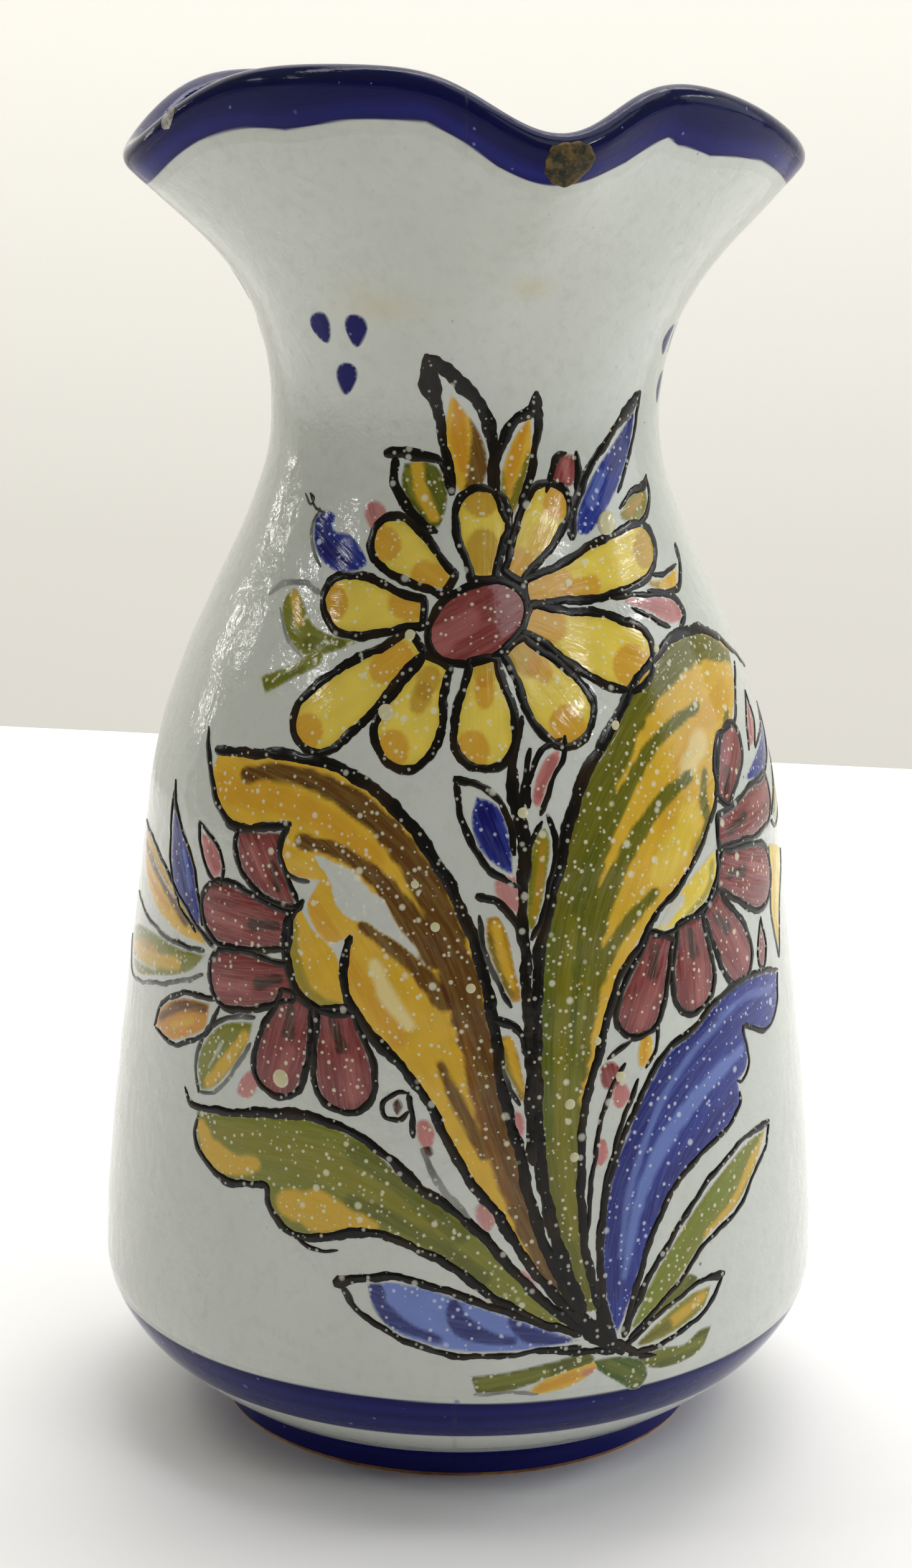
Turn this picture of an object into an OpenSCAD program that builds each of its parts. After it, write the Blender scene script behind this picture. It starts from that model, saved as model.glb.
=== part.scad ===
// Hand-thrown earthenware vase: tin-glazed white, with cobalt bands and painted flowers.
// The origin is at the centre of the foot, +Z is up and the painted bouquet faces -Y.

/* [Overall] */
// Height from the table to the top of the lip between two pinches, before the lean
vase_h = 228.4; // [205:0.2:260]
// Widest diameter, just above the foot
belly_d = 124.6; // [112:0.2:150]
// Diameter where the side turns into the shoulder
shoulder_d = 107.8; // [98:0.2:118]
// Height where the side turns into the shoulder
shoulder_z = 107; // [95:1:120]
// Diameter of the neck at its narrowest
neck_d = 64.4; // [54:0.2:76]
// Height of the narrowest point of the neck
neck_z = 173; // [160:1:186]

/* [Foot] */
// Outer diameter of the foot ring
foot_d = 84; // [74:1:94]
// Height of the straight wall of the foot ring
foot_h = 3.5; // [3:0.1:5]
// Width of the foot ring where it stands
foot_ring_w = 6; // [4:0.5:9]
// Depth of the hollow under the floor
recess_h = 2.6; // [1.5:0.1:2.8]
// Bare clay left at the bottom of the foot, below the glaze
bare_h = 0.8; // [0.4:0.1:1.5]
// Height of the widest point
belly_z = 28; // [25:1:33]

/* [Wall and glaze] */
// Whole wall, clay and both glazes together
wall_t = 5.2; // [4:0.1:6.2]
// Thickness of each glaze coat
glaze_t = 0.45; // [0.3:0.05:0.6]

/* [Mouth] */
// Outer diameter of the mouth between the pinches
mouth_d = 102; // [92:1:116]
// How much further out the lip reaches at a pinch
pinch_out = 4.5; // [2:0.5:7]
// How much lower the lip lies at a pinch
pinch_drop = 13.8; // [8:0.2:16]
// How much the mouth leans to one side
mouth_lean = 1.4; // [0:0.1:3]
// Part of the flare that the blue rim covers, measured back from the lip
rim_band = 0.08; // [0.05:0.01:0.2]

/* [Painted bands] */
// Part of the curve above the foot that the white stripe takes
stripe_part = 0.35; // [0.2:0.01:0.45]
// Part of the same curve where the blue band ends
band_part = 0.83; // [0.7:0.01:0.9]

/* [Hidden] */

$fn = 72;
segments = 72;

belly_r = belly_d / 2;
shoulder_r = shoulder_d / 2;
neck_r = neck_d / 2;
foot_r = foot_d / 2;
mouth_r = mouth_d / 2;
lip_r = wall_t / 2;
// How far the top of the round lip stands above its outer edge
lip_rise = lip_r + 0.6;
flare_h = vase_h - neck_z;
seat = 0.03;
clay_out = glaze_t;
clay_in = wall_t - glaze_t;

// Each pinch pulls the lip out and down: its direction, strength and half width, in degrees
pinches = [[15, 0.72, 15], [94, 0.79, 35], [166, 0.85, 22], [280, 0.97, 25]];
// The direction that the mouth's high side faces
lean_dir = -46;

// A cubic curve through a and d, with b and c as its handles, and its direction
function curve(k, t) = let (u = 1 - t)
    u*u*u*k[0] + 3*u*u*t*k[1] + 3*u*t*t*k[2] + t*t*t*k[3];
function slope(k, t) = let (u = 1 - t)
    u*u*(k[1] - k[0]) + 2*u*t*(k[2] - k[1]) + t*t*(k[3] - k[2]);
// A point of the curve, moved a given depth into the wall
function sunk(k, t, depth) = let (s = slope(k, t)) curve(k, t) + depth/norm(s)*[-s[1], s[0]];
// A run of such points from one place on the curve to another
function run(k, t0, t1, n, depth) = [for (i = [0:n]) sunk(k, t0 + (t1 - t0)*i/n, depth)];
function tail(list) = [for (i = [1:len(list) - 1]) list[i]];
function turned(list) = [for (i = [len(list) - 1:-1:0]) list[i]];

// Outline of the pot, as radius and height: foot to belly, belly to shoulder, shoulder to neck
// The side closes in by this much for each millimetre up, where it meets the shoulder
taper = 0.12;
// How far the curves' handles reach from the heel, the side, the shoulder and the neck
heel_reach = [8, 5];
side_reach = 20;
shoulder_reach = 30;
neck_reach = 18;
heel = [[foot_r, foot_h], [foot_r, foot_h] + heel_reach, [belly_r, belly_z*0.6], [belly_r, belly_z]];
side = [[belly_r, belly_z], [belly_r, belly_z + side_reach],
        [shoulder_r + taper*side_reach, shoulder_z - side_reach], [shoulder_r, shoulder_z]];
neck = [[shoulder_r, shoulder_z], [shoulder_r - taper*shoulder_reach, shoulder_z + shoulder_reach],
        [neck_r, neck_z - neck_reach], [neck_r, neck_z]];

// Points of one coat's edge in each stretch, at a depth in the wall
function stripe_run(depth) = run(heel, 0, stripe_part, 3, depth);
function band_run(depth) = run(heel, stripe_part, band_part, 6, depth);
function side_run(depth) = concat(run(heel, band_part, 1, 2, depth),
                                  tail(run(side, 0, 1, 8, depth)),
                                  tail(run(neck, 0, 1, 12, depth)));
// The inner wall, from the edge of the floor up to the neck
function inside_run(depth) = concat(run(heel, 0, 1, 10, depth), tail(run(side, 0, 1, 8, depth)),
                                    tail(run(neck, 0, 1, 12, depth)));
// Where the foot's wall meets the heel, at a depth in the wall
function foot_corner(depth) = let (s = slope(heel, 0), n = [-s[1], s[0]]/norm(s))
    [foot_r, foot_h] + depth*([-1, 0] + n)/(1 - n[0]);

// How strongly a direction is pinched: 0 between the pinches and about 1 in the middle of one
function off_by(a, b) = let (d = (a - b) % 360) d > 180 ? d - 360 : d < -180 ? d + 360 : d;
function pinch_at(a) = let (w = [for (p = pinches) p[1]*exp(-pow(off_by(a, p[0])/p[2], 2))])
    w[0] + w[1] + w[2] + w[3];
function lean_at(a) = mouth_lean*cos(a - lean_dir);
// The flare's curve in one direction. A pinch starts it later and turns it out more sharply.
function flare(a) = let (w = pinch_at(a), lip_z = vase_h - lip_rise + lean_at(a)) [
    [neck_r, neck_z],
    [neck_r, neck_z + flare_h*(0.27 + 0.16*w)],
    [mouth_r - 5.9 - 2.2*w, lip_z - flare_h*(0.39 + 0.07*w)],
    [mouth_r + pinch_out*w, lip_z - pinch_drop*w]];
// A point around the lip: 0 is its outer edge and 180 its inner edge, at a depth in the wall
function lip(k, turn, depth) = let (s = slope(k, 1)/norm(slope(k, 1)), n = [-s[1], s[0]])
    curve(k, 1) + lip_r*n + (lip_r - depth)*(-cos(turn)*n + sin(turn)*s);
// The directions go from the front, -Y, towards +X
function placed(a, p) = [p[0]*sin(a), -p[0]*cos(a), p[1]];

flare_steps = 9;
lip_steps = 6;
cover = 1 - rim_band;
function flare_out(k, depth) = run(k, 0, cover, flare_steps, depth);
function over_lip(k, depth) = concat([sunk(k, cover, depth)],
    [for (i = [0:lip_steps]) lip(k, 180*i/lip_steps, depth)],
    [sunk(k, cover, wall_t - depth)]);
function flare_in(k, depth) = run(k, cover, 0, flare_steps, depth);

// A ring whose cross-section is a closed loop of points, which changes with the direction
module ring(sections) {
    rows = len(sections);
    m = len(sections[0]);
    points = [for (j = [0:rows - 1]) each [for (p = sections[j]) placed(360*j/rows, p)]];
    faces = [for (j = [0:rows - 1], i = [0:m - 1])
        let (a = j*m + i, b = j*m + (i + 1)%m, c = ((j + 1)%rows)*m + (i + 1)%m, d = ((j + 1)%rows)*m + i)
        each [[a, b, c], [a, c, d]]];
    polyhedron(points, faces, convexity = 8);
}
function around() = [for (j = [0:segments - 1]) flare(360*j/segments)];
// The flare stands on the round wall below it. Its lowest ring keeps just inside that wall's
// edges, because a polygon and a circle that share their corners don't join cleanly.
function stand_out(list, depth) = concat([[neck_r - depth - seat, neck_z]], tail(list));
function stand_in(list, depth) = concat([for (i = [0:len(list) - 2]) list[i]],
    [[(neck_r - depth + seat)/cos(180/segments), neck_z]]);

// The fired clay: floor, foot ring, wall and flared mouth, thrown in one piece
module clay_body() color("peru") {
    out = clay_out;
    in = clay_in;
    outline = concat(
        [[0, recess_h], [foot_r - foot_ring_w - 1, recess_h], [foot_r - foot_ring_w, 0],
         [foot_r - out, 0], foot_corner(out)],
        tail(stripe_run(out)), tail(band_run(out)), tail(side_run(out)),
        turned(inside_run(in)), [[0, inside_run(in)[0][1]]]);
    rotate_extrude() polygon(outline);
    ring([for (k = around()) concat(stand_out(flare_out(k, out), out), over_lip(k, out),
                                    stand_in(flare_in(k, in), in))]);
}

// White glaze that lines the inside, from the floor up to the blue rim
module inner_glaze() color("whitesmoke") {
    rotate_extrude() polygon(concat(
        [[0, inside_run(clay_in)[0][1]]], inside_run(clay_in),
        turned(inside_run(wall_t)), [[0, inside_run(wall_t)[0][1]]]));
    ring([for (k = around()) concat(stand_out(turned(flare_in(k, clay_in)), clay_in),
                                    stand_in(flare_in(k, wall_t), wall_t))]);
}

// White tin glaze on the outside, from the upper foot band to the blue rim
module outer_glaze() color("white") {
    rotate_extrude() polygon(concat(side_run(0), turned(side_run(clay_out))));
    ring([for (k = around()) concat(stand_out(flare_out(k, 0), 0),
                                    stand_in(turned(flare_out(k, clay_out)), clay_out))]);
}

// Cobalt glaze over the lip
module rim_band_glaze() color("midnightblue")
    ring([for (k = around()) concat(over_lip(k, 0), turned(over_lip(k, clay_out)))]);

// Cobalt band under the belly
module upper_foot_band() color("midnightblue")
    rotate_extrude() polygon(concat(band_run(0), turned(band_run(clay_out))));

// White stripe between the two cobalt bands
module foot_stripe() color("white")
    rotate_extrude() polygon(concat(stripe_run(0), turned(tail(stripe_run(clay_out))),
                                    [foot_corner(clay_out)]));

// Cobalt band on the foot's wall
module lower_foot_band() color("midnightblue")
    rotate_extrude() polygon([[foot_r, bare_h], [foot_r, foot_h], foot_corner(clay_out),
                              [foot_r - clay_out, bare_h]]);

clay_body();
inner_glaze();
outer_glaze();
rim_band_glaze();
upper_foot_band();
foot_stripe();
lower_foot_band();
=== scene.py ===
# %% [markdown]
# # A hand-painted majolica vase
# The real pot is thrown in one piece from red-buff clay, its soft lip is pinched in four places, and it
# is fired. White tin glaze then covers it, the bands and flowers are brushed on as coloured glazes, and
# a second fire melts everything into one skin. The looks are built in that order: clay, white coats,
# cobalt bands, paint. The frame gives the clay and the place of every coat, so it is loaded first and
# its box is kept.

# %% Load the frame
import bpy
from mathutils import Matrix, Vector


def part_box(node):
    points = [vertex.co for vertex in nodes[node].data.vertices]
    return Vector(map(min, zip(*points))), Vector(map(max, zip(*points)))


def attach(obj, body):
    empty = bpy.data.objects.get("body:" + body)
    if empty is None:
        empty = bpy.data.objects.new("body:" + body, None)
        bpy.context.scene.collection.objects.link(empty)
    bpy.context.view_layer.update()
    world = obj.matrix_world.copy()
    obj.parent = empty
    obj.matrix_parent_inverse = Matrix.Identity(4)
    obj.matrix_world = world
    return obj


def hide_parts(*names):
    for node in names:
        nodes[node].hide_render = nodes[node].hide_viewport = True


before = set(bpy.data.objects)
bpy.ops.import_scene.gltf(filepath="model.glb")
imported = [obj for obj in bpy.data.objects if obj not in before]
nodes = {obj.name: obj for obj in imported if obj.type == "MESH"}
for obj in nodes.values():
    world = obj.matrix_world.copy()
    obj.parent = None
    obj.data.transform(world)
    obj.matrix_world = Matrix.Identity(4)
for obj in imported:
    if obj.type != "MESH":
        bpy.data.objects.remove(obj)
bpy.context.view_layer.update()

import math

import bpy
import numpy as np
from mathutils import Matrix, Vector
from mathutils.geometry import delaunay_2d_cdt

MM = 0.001
print("nodes:", sorted(nodes))

# %% [markdown]
# ## The outline of the pot
# The coats need a much finer surface than a working model has, or every lamp would show facets in the
# gloss. They could be subdivided copies of the frame's meshes, but a subdivision rounds the lip off and
# shrinks the belly. So the pot's own outline is drawn again: three cubic curves for heel, side and
# neck, and one more for the flare in each direction. Heights and widths that the frame can tell are
# read from its boxes.

# %% Driving sizes, in millimetres
belly_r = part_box("upper_foot_band")[1][0] / MM
belly_r = max(belly_r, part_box("outer_glaze")[1][0] / MM)
belly_z = 28.0
foot_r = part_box("lower_foot_band")[1][0] / MM
foot_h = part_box("lower_foot_band")[1][2] / MM
bare_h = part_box("lower_foot_band")[0][2] / MM
shoulder_r, shoulder_z = 53.9, 107.0
neck_r, neck_z = 32.2, 173.0
vase_h = 228.4
wall, glaze = 5.2, 0.45
mouth_r, pinch_out, pinch_drop = 51.0, 4.5, 13.8
lip_r = wall / 2
lip_top = vase_h - lip_r - 0.6
PINCHES = [(15, 0.72, 15), (94, 0.79, 35), (166, 0.85, 22), (280, 0.97, 25)]

HEEL = [[foot_r, foot_h], [foot_r + 8, foot_h + 5], [belly_r, belly_z * 0.6], [belly_r, belly_z]]
SIDE = [[belly_r, belly_z], [belly_r, belly_z + 20], [shoulder_r + 2.4, shoulder_z - 20],
        [shoulder_r, shoulder_z]]
NECK = [[shoulder_r, shoulder_z], [shoulder_r - 3.6, shoulder_z + 30], [neck_r, neck_z - 18],
        [neck_r, neck_z]]
print(f"belly {2 * belly_r:.1f} mm wide, foot {2 * foot_r:.1f} mm, {vase_h} mm high")


# %% Curves of the outline
def on_curve(handles, t):
    """Points of a cubic curve; handles may hold one curve for each direction."""
    t = np.asarray(t, float)
    u = 1 - t
    return np.stack([u**3, 3 * u * u * t, 3 * u * t * t, t**3], -1) @ np.asarray(handles, float)


def along_curve(handles, t):
    """The curve's heading there, one unit long."""
    t = np.asarray(t, float)
    u = 1 - t
    way = np.stack([-u * u, u * u - 2 * u * t, 2 * u * t - t * t, t * t], -1) @ np.asarray(handles, float)
    return way / np.linalg.norm(way, axis=-1, keepdims=True)


def into_wall(way):
    return np.stack([-way[..., 1], way[..., 0]], -1)


def sunk(handles, t, depth):
    """Points of the curve, moved a depth into the wall. A depth below 0 stands proud."""
    return on_curve(handles, t) + depth * into_wall(along_curve(handles, t))


def turn_between(a, b):
    return (np.asarray(a, float) - b + 180) % 360 - 180


def flare(direction):
    """The flare's curve in each direction. A pinch turns it out more sharply and lower."""
    direction = np.atleast_1d(np.asarray(direction, float))
    pinch = sum(s * np.exp(-(turn_between(direction, at) / width) ** 2) for at, s, width in PINCHES)
    lip_z = lip_top + 1.4 * np.cos(np.radians(direction + 46))
    rise = vase_h - neck_z
    low = np.full_like(pinch, neck_r)
    return np.stack([
        np.stack([low, low * 0 + neck_z], -1),
        np.stack([low, neck_z + rise * (0.27 + 0.16 * pinch)], -1),
        np.stack([mouth_r - 5.9 - 2.2 * pinch, lip_z - rise * (0.39 + 0.07 * pinch)], -1),
        np.stack([mouth_r + pinch_out * pinch, lip_z - pinch_drop * pinch], -1)], 1)


def round_lip(handles, turn, depth):
    """Points round the lip: a turn of 0 is its outer edge, 180 its inner edge."""
    way = along_curve(handles, [1.0])
    inward = into_wall(way)
    a = np.radians(turn)[None, :, None]
    outward = np.sin(a) * way - np.cos(a) * inward
    return on_curve(handles, [1.0]) + lip_r * inward + (lip_r - depth) * outward


# %% [markdown]
# ## Places on the pot
# Everything painted on a round pot is easiest to draw flat. A place is given as millimetres round the
# pot from its front line and millimetres above the table, and one function lays it on the glaze. The
# same function adds the thrower's unevenness, a tenth of a millimetre of swell and faint rings, so
# every coat and every brush mark follows the same slightly crooked surface.

# %% Lay flat drawings on the glaze
heel_run, side_run, neck_run = (on_curve(c, np.linspace(0, 1, 200)) for c in (HEEL, SIDE, NECK))
ROUND = np.concatenate([[[foot_r, 0.0]], heel_run, side_run[1:], neck_run[1:]])


def uneven(direction, z):
    """How far the thrown wall stands out of its ideal round, in millimetres."""
    a = np.radians(direction)
    swell = 0.12 * np.sin(2 * a + z / 41 + 0.6) + 0.07 * np.sin(3 * a - z / 23)
    rings = 0.035 * np.sin(z / 1.9 + 0.9 * np.sin(a + 0.4) + np.sin(z / 17))
    return (swell + rings) * np.clip((z - foot_h) / 12, 0, 1) * np.clip((226 - z) / 30, 0.25, 1)


def to_space(direction, radius, z):
    a = np.radians(direction)
    radius = radius + uneven(direction, z)
    return np.stack([radius * np.sin(a), -radius * np.cos(a), z + 0 * a], -1)


def radius_at(direction, z):
    """The ideal radius of the outside, row by row; the flare differs with the direction."""
    radius = np.interp(z, ROUND[:, 1], ROUND[:, 0])
    high = np.nonzero(z > neck_z)[0]
    if len(high):
        runs = on_curve(flare(direction[high]), np.linspace(0, 1, 80))
        radius[high] = [np.interp(z[i], run[:, 1], run[:, 0]) for i, run in zip(high, runs)]
    return radius


def spot(flat):
    """Flat places (mm round, mm up) to directions, heights and points in space."""
    flat = np.asarray(flat, float)
    direction = np.degrees(flat[:, 0] / radius_at(flat[:, 0], flat[:, 1]))
    for _ in range(2 if flat[:, 1].max() > neck_z else 0):
        direction = np.degrees(flat[:, 0] / radius_at(direction, flat[:, 1]))
    return to_space(direction, radius_at(direction, flat[:, 1]), flat[:, 1])


def laid(flat, lift):
    """Flat places laid on the glaze, standing proud by lift millimetres."""
    flat = np.asarray(flat, float)
    here = spot(flat)
    out = np.cross(spot(flat + [0.3, 0]) - here, spot(flat + [0, 0.3]) - here)
    out /= np.linalg.norm(out, axis=1, keepdims=True)
    return here + out * np.reshape(lift, (-1, 1))


print("front of the neck at", np.round(laid([[0, 150]], [0])[0], 1))


# %% [markdown]
# ## Colours and shared effects
# Majolica colours live in one glass skin, so all the finishes share four effects: the milky white
# ground, the fine ripple of the glaze, pale bubbles that broke in the paint, and the streaks that a
# brush leaves. Each is a node group, built once. The white ground is worked out from the place on the
# pot, and every paint thins out into the very same white at its edges.

# %% Helpers for materials
def tone(red, green, blue):
    """A colour from 0 to 255 a channel, as light."""
    light = [((c / 255 + 0.055) / 1.055) ** 2.4 if c > 10 else c / 3294.6 for c in (red, green, blue)]
    return tuple(light) + (1.0,)


def add(tree, kind, values=None, **settings):
    made = tree.nodes.new(kind)
    for key, value in settings.items():
        setattr(made, key, value)
    for key, value in (values or {}).items():
        made.inputs[key].default_value = value
    return made


def feed(tree, source, target):
    tree.links.new(source, target)
    return target


def value_of(tree, operation, first, second=None, third=None):
    """A Math node; each input is a socket or a number."""
    made = add(tree, "ShaderNodeMath", operation=operation)
    for socket, given in zip(made.inputs, (first, second, third)):
        if isinstance(given, bpy.types.NodeSocket):
            tree.links.new(given, socket)
        elif given is not None:
            socket.default_value = given
    return made.outputs[0]


def mixed(tree, factor, first, second):
    """A colour Mix node; each input is a socket, a number or a colour."""
    made = add(tree, "ShaderNodeMix", data_type="RGBA")
    for index, given in ((0, factor), (6, first), (7, second)):
        if isinstance(given, bpy.types.NodeSocket):
            tree.links.new(given, made.inputs[index])
        else:
            made.inputs[index].default_value = given
    return made.outputs[2]


def steps(tree, source, low, high, to_low=0.0, to_high=1.0):
    """A soft step from one value to another."""
    made = add(tree, "ShaderNodeMapRange", interpolation_type="SMOOTHSTEP",
               values={"From Min": low, "From Max": high, "To Min": to_low, "To Max": to_high})
    tree.links.new(source, made.inputs["Value"])
    return made.outputs["Result"]


def place_of(tree):
    """Where a point is on the pot, which stays with the pot when it moves."""
    return add(tree, "ShaderNodeTexCoord").outputs["Object"]


def noise(tree, where, scale, detail, roughness):
    """Soft random clouds from 0 to 1; the scale may be a socket."""
    made = add(tree, "ShaderNodeTexNoise", {"Detail": detail, "Roughness": roughness})
    feed(tree, where, made.inputs["Vector"])
    if isinstance(scale, bpy.types.NodeSocket):
        feed(tree, scale, made.inputs["Scale"])
    else:
        made.inputs["Scale"].default_value = scale
    return made.outputs["Fac"]


def cells_of(tree, where, scale):
    """Random cells: how far each point is from its cell's middle, and three random numbers a cell."""
    made = add(tree, "ShaderNodeTexVoronoi")
    feed(tree, where, made.inputs["Vector"])
    if isinstance(scale, bpy.types.NodeSocket):
        feed(tree, scale, made.inputs["Scale"])
    else:
        made.inputs["Scale"].default_value = scale
    drawn = add(tree, "ShaderNodeSeparateColor")
    feed(tree, made.outputs["Color"], drawn.inputs[0])
    return made.outputs["Distance"], drawn.outputs


def new_group(name, inputs, outputs):
    """A shader node group with named inputs and outputs."""
    tree = bpy.data.node_groups.new(name, "ShaderNodeTree")
    for label, kind, value in inputs:
        tree.interface.new_socket(name=label, in_out="INPUT", socket_type=kind).default_value = value
    for label, kind in outputs:
        tree.interface.new_socket(name=label, in_out="OUTPUT", socket_type=kind)
    return tree, tree.nodes.new("NodeGroupInput").outputs, tree.nodes.new("NodeGroupOutput").inputs


def place_group(tree, group, **values):
    made = add(tree, "ShaderNodeGroup", node_tree=group)
    for key, value in values.items():
        made.inputs[key.replace("_", " ")].default_value = value
    return made.outputs


NUMBER, COLOUR = "NodeSocketFloat", "NodeSocketColor"


# %% White ground
def make_white_ground():
    """Milky tin white with faint clouds and a few dark iron specks."""
    tree, _, out = new_group("white_ground", [], [("Color", COLOUR)])
    where = place_of(tree)
    clouds = steps(tree, noise(tree, where, 26, 4, 0.6), 0.35, 0.68)
    colour = mixed(tree, clouds, tone(202, 206, 197), tone(210, 214, 206))
    grain = steps(tree, noise(tree, where, 420, 3, 0.65), 0.45, 0.75, 0.0, 0.35)
    colour = mixed(tree, grain, colour, tone(186, 191, 182))
    distance, drawn = cells_of(tree, where, 170)
    size = value_of(tree, "MULTIPLY", value_of(tree, "GREATER_THAN", drawn[0], 0.62), 0.055)
    size = value_of(tree, "MULTIPLY", size, drawn[1])
    specks = value_of(tree, "LESS_THAN", distance, size)
    colour = mixed(tree, value_of(tree, "MULTIPLY", specks, 0.75), colour, tone(92, 80, 66))
    feed(tree, colour, out["Color"])
    return tree


WHITE_GROUND = make_white_ground()


# %% Bubbles, ripple and brush streaks
def make_bubbles():
    """Round bubbles that broke in the glaze. Share is how many of the places hold one."""
    tree, given, out = new_group("broken_bubbles",
                                 [("Scale", NUMBER, 600.0), ("Size", NUMBER, 0.3), ("Share", NUMBER, 0.5)],
                                 [("Mask", NUMBER), ("Height", NUMBER)])
    distance, drawn = cells_of(tree, place_of(tree), given["Scale"])
    held = value_of(tree, "LESS_THAN", drawn[0], given["Share"])
    radius = value_of(tree, "MULTIPLY", given["Size"], value_of(tree, "MULTIPLY_ADD", drawn[1], 0.75, 0.25))
    radius = value_of(tree, "MULTIPLY", radius, held)
    inside = value_of(tree, "DIVIDE", value_of(tree, "SUBTRACT", radius, distance),
                      value_of(tree, "MAXIMUM", value_of(tree, "MULTIPLY", radius, 0.45), 0.001))
    mask = value_of(tree, "MINIMUM", value_of(tree, "MAXIMUM", inside, 0.0), 1.0)
    feed(tree, mask, out["Mask"])
    feed(tree, value_of(tree, "MULTIPLY", mask, value_of(tree, "SUBTRACT", 1.3, mask)), out["Height"])
    return tree


def make_ripple():
    """The orange-peel ripple of a thick glaze, broad and fine together."""
    tree, given, out = new_group("glaze_ripple", [("Fineness", NUMBER, 300.0)], [("Height", NUMBER)])
    where = place_of(tree)
    broad = noise(tree, where, given["Fineness"], 2, 0.5)
    fine = noise(tree, where, value_of(tree, "MULTIPLY", given["Fineness"], 4.3), 2, 0.6)
    feed(tree, value_of(tree, "MULTIPLY_ADD", fine, 0.22, broad), out["Height"])
    return tree


def make_streaks():
    """Long streaks along the brush's way, from the brush place kept on each point of the paint."""
    tree, given, out = new_group("brush_streaks", [("Width", NUMBER, 1.0)], [("Streak", NUMBER)])
    way = add(tree, "ShaderNodeAttribute", attribute_type="GEOMETRY", attribute_name="brush")
    parts = add(tree, "ShaderNodeSeparateXYZ")
    feed(tree, way.outputs["Vector"], parts.inputs[0])
    join = add(tree, "ShaderNodeCombineXYZ")
    feed(tree, value_of(tree, "MULTIPLY", parts.outputs[0], 0.13), join.inputs[0])
    feed(tree, value_of(tree, "DIVIDE", parts.outputs[1], given["Width"]), join.inputs[1])
    feed(tree, parts.outputs[2], join.inputs[2])
    hairs = noise(tree, join.outputs[0], 1, 3, 0.62)
    hairs.node.inputs["Distortion"].default_value = 0.3
    feed(tree, steps(tree, hairs, 0.38, 0.66), out["Streak"])
    return tree


BUBBLES, RIPPLE, STREAKS = make_bubbles(), make_ripple(), make_streaks()
print("shared effects:", [g.name for g in bpy.data.node_groups])


# %% [markdown]
# ## Finishes
# One function mixes every glaze: a colour over the white ground, with its bubbles, streaks and ripple,
# under a glassy gloss. The gloss comes from the shader's own roughness and index, which stay plain
# numbers. The colour comes from each point of the paint, so one finish can hold soft changes from
# yellow to brown.

# %% Glaze and paint materials
def new_material(name, roughness, ior=1.52):
    made = bpy.data.materials.new(name)
    made.use_nodes = True
    shader = made.node_tree.nodes["Principled BSDF"]
    shader.inputs["IOR"].default_value = ior
    shader.inputs["Roughness"].default_value = roughness
    return made, made.node_tree, shader


def bumped(tree, height, distance, shader):
    """Let a height dent and raise the surface by up to a distance in metres."""
    bump = add(tree, "ShaderNodeBump", {"Strength": 1.0, "Distance": distance})
    feed(tree, height, bump.inputs["Height"])
    feed(tree, bump.outputs[0], shader.inputs["Normal"])


def enamel(name, bubble_share, streak, tint, shine, bubble_tone=(226, 224, 196), roughness=0.1, ripple=0.5):
    """Brushed colour over the white: paint says its colour, cover how thick it lies."""
    made, tree, shader = new_material(name, roughness)
    shader.inputs["Specular IOR Level"].default_value = shine
    paint = add(tree, "ShaderNodeAttribute", attribute_name="paint").outputs["Color"]
    cover = add(tree, "ShaderNodeAttribute", attribute_name="cover").outputs["Fac"]
    ground = place_group(tree, WHITE_GROUND)["Color"]
    brush = place_group(tree, STREAKS, Width=0.55)["Streak"]
    colour = mixed(tree, value_of(tree, "MULTIPLY", brush, streak), paint, tone(*tint))
    small = place_group(tree, BUBBLES, Scale=1050.0, Size=0.46, Share=bubble_share)
    large = place_group(tree, BUBBLES, Scale=430.0, Size=0.36, Share=bubble_share * 0.6)
    spots = value_of(tree, "MAXIMUM", small["Mask"], large["Mask"])
    left = value_of(tree, "SUBTRACT", 1.0, value_of(tree, "MULTIPLY", brush, streak * 0.5))
    thin = steps(tree, value_of(tree, "MULTIPLY", cover, left), 0.04, 0.9)
    colour = mixed(tree, thin, ground, colour)
    colour = mixed(tree, value_of(tree, "MULTIPLY", spots, 0.74), colour, tone(*bubble_tone))
    feed(tree, colour, shader.inputs["Base Color"])
    peel = place_group(tree, RIPPLE, Fineness=330.0)["Height"]
    height = value_of(tree, "MULTIPLY", peel, ripple)
    height = value_of(tree, "MULTIPLY_ADD", brush, 0.12, height)
    height = value_of(tree, "MULTIPLY_ADD", small["Height"], 0.35, height)
    height = value_of(tree, "MULTIPLY_ADD", large["Height"], 0.6, height)
    bumped(tree, height, 0.00009, shader)
    return made


def white_glaze(name):
    """The bare white coat, with the faint rusty stains that its stain values mark."""
    made, tree, shader = new_material(name, 0.09)
    ground = place_group(tree, WHITE_GROUND)
    stain = add(tree, "ShaderNodeAttribute", attribute_name="stain").outputs["Fac"]
    colour = mixed(tree, stain, ground["Color"], tone(206, 190, 140))
    pits = place_group(tree, BUBBLES, Scale=420.0, Size=0.14, Share=0.3)
    colour = mixed(tree, value_of(tree, "MULTIPLY", pits["Mask"], 0.25), colour, tone(150, 152, 146))
    feed(tree, colour, shader.inputs["Base Color"])
    height = value_of(tree, "MULTIPLY", place_group(tree, RIPPLE, Fineness=360.0)["Height"], 1.7)
    height = value_of(tree, "MULTIPLY_ADD", pits["Height"], -0.5, height)
    bumped(tree, height, 0.0001, shader)
    return made


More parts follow.
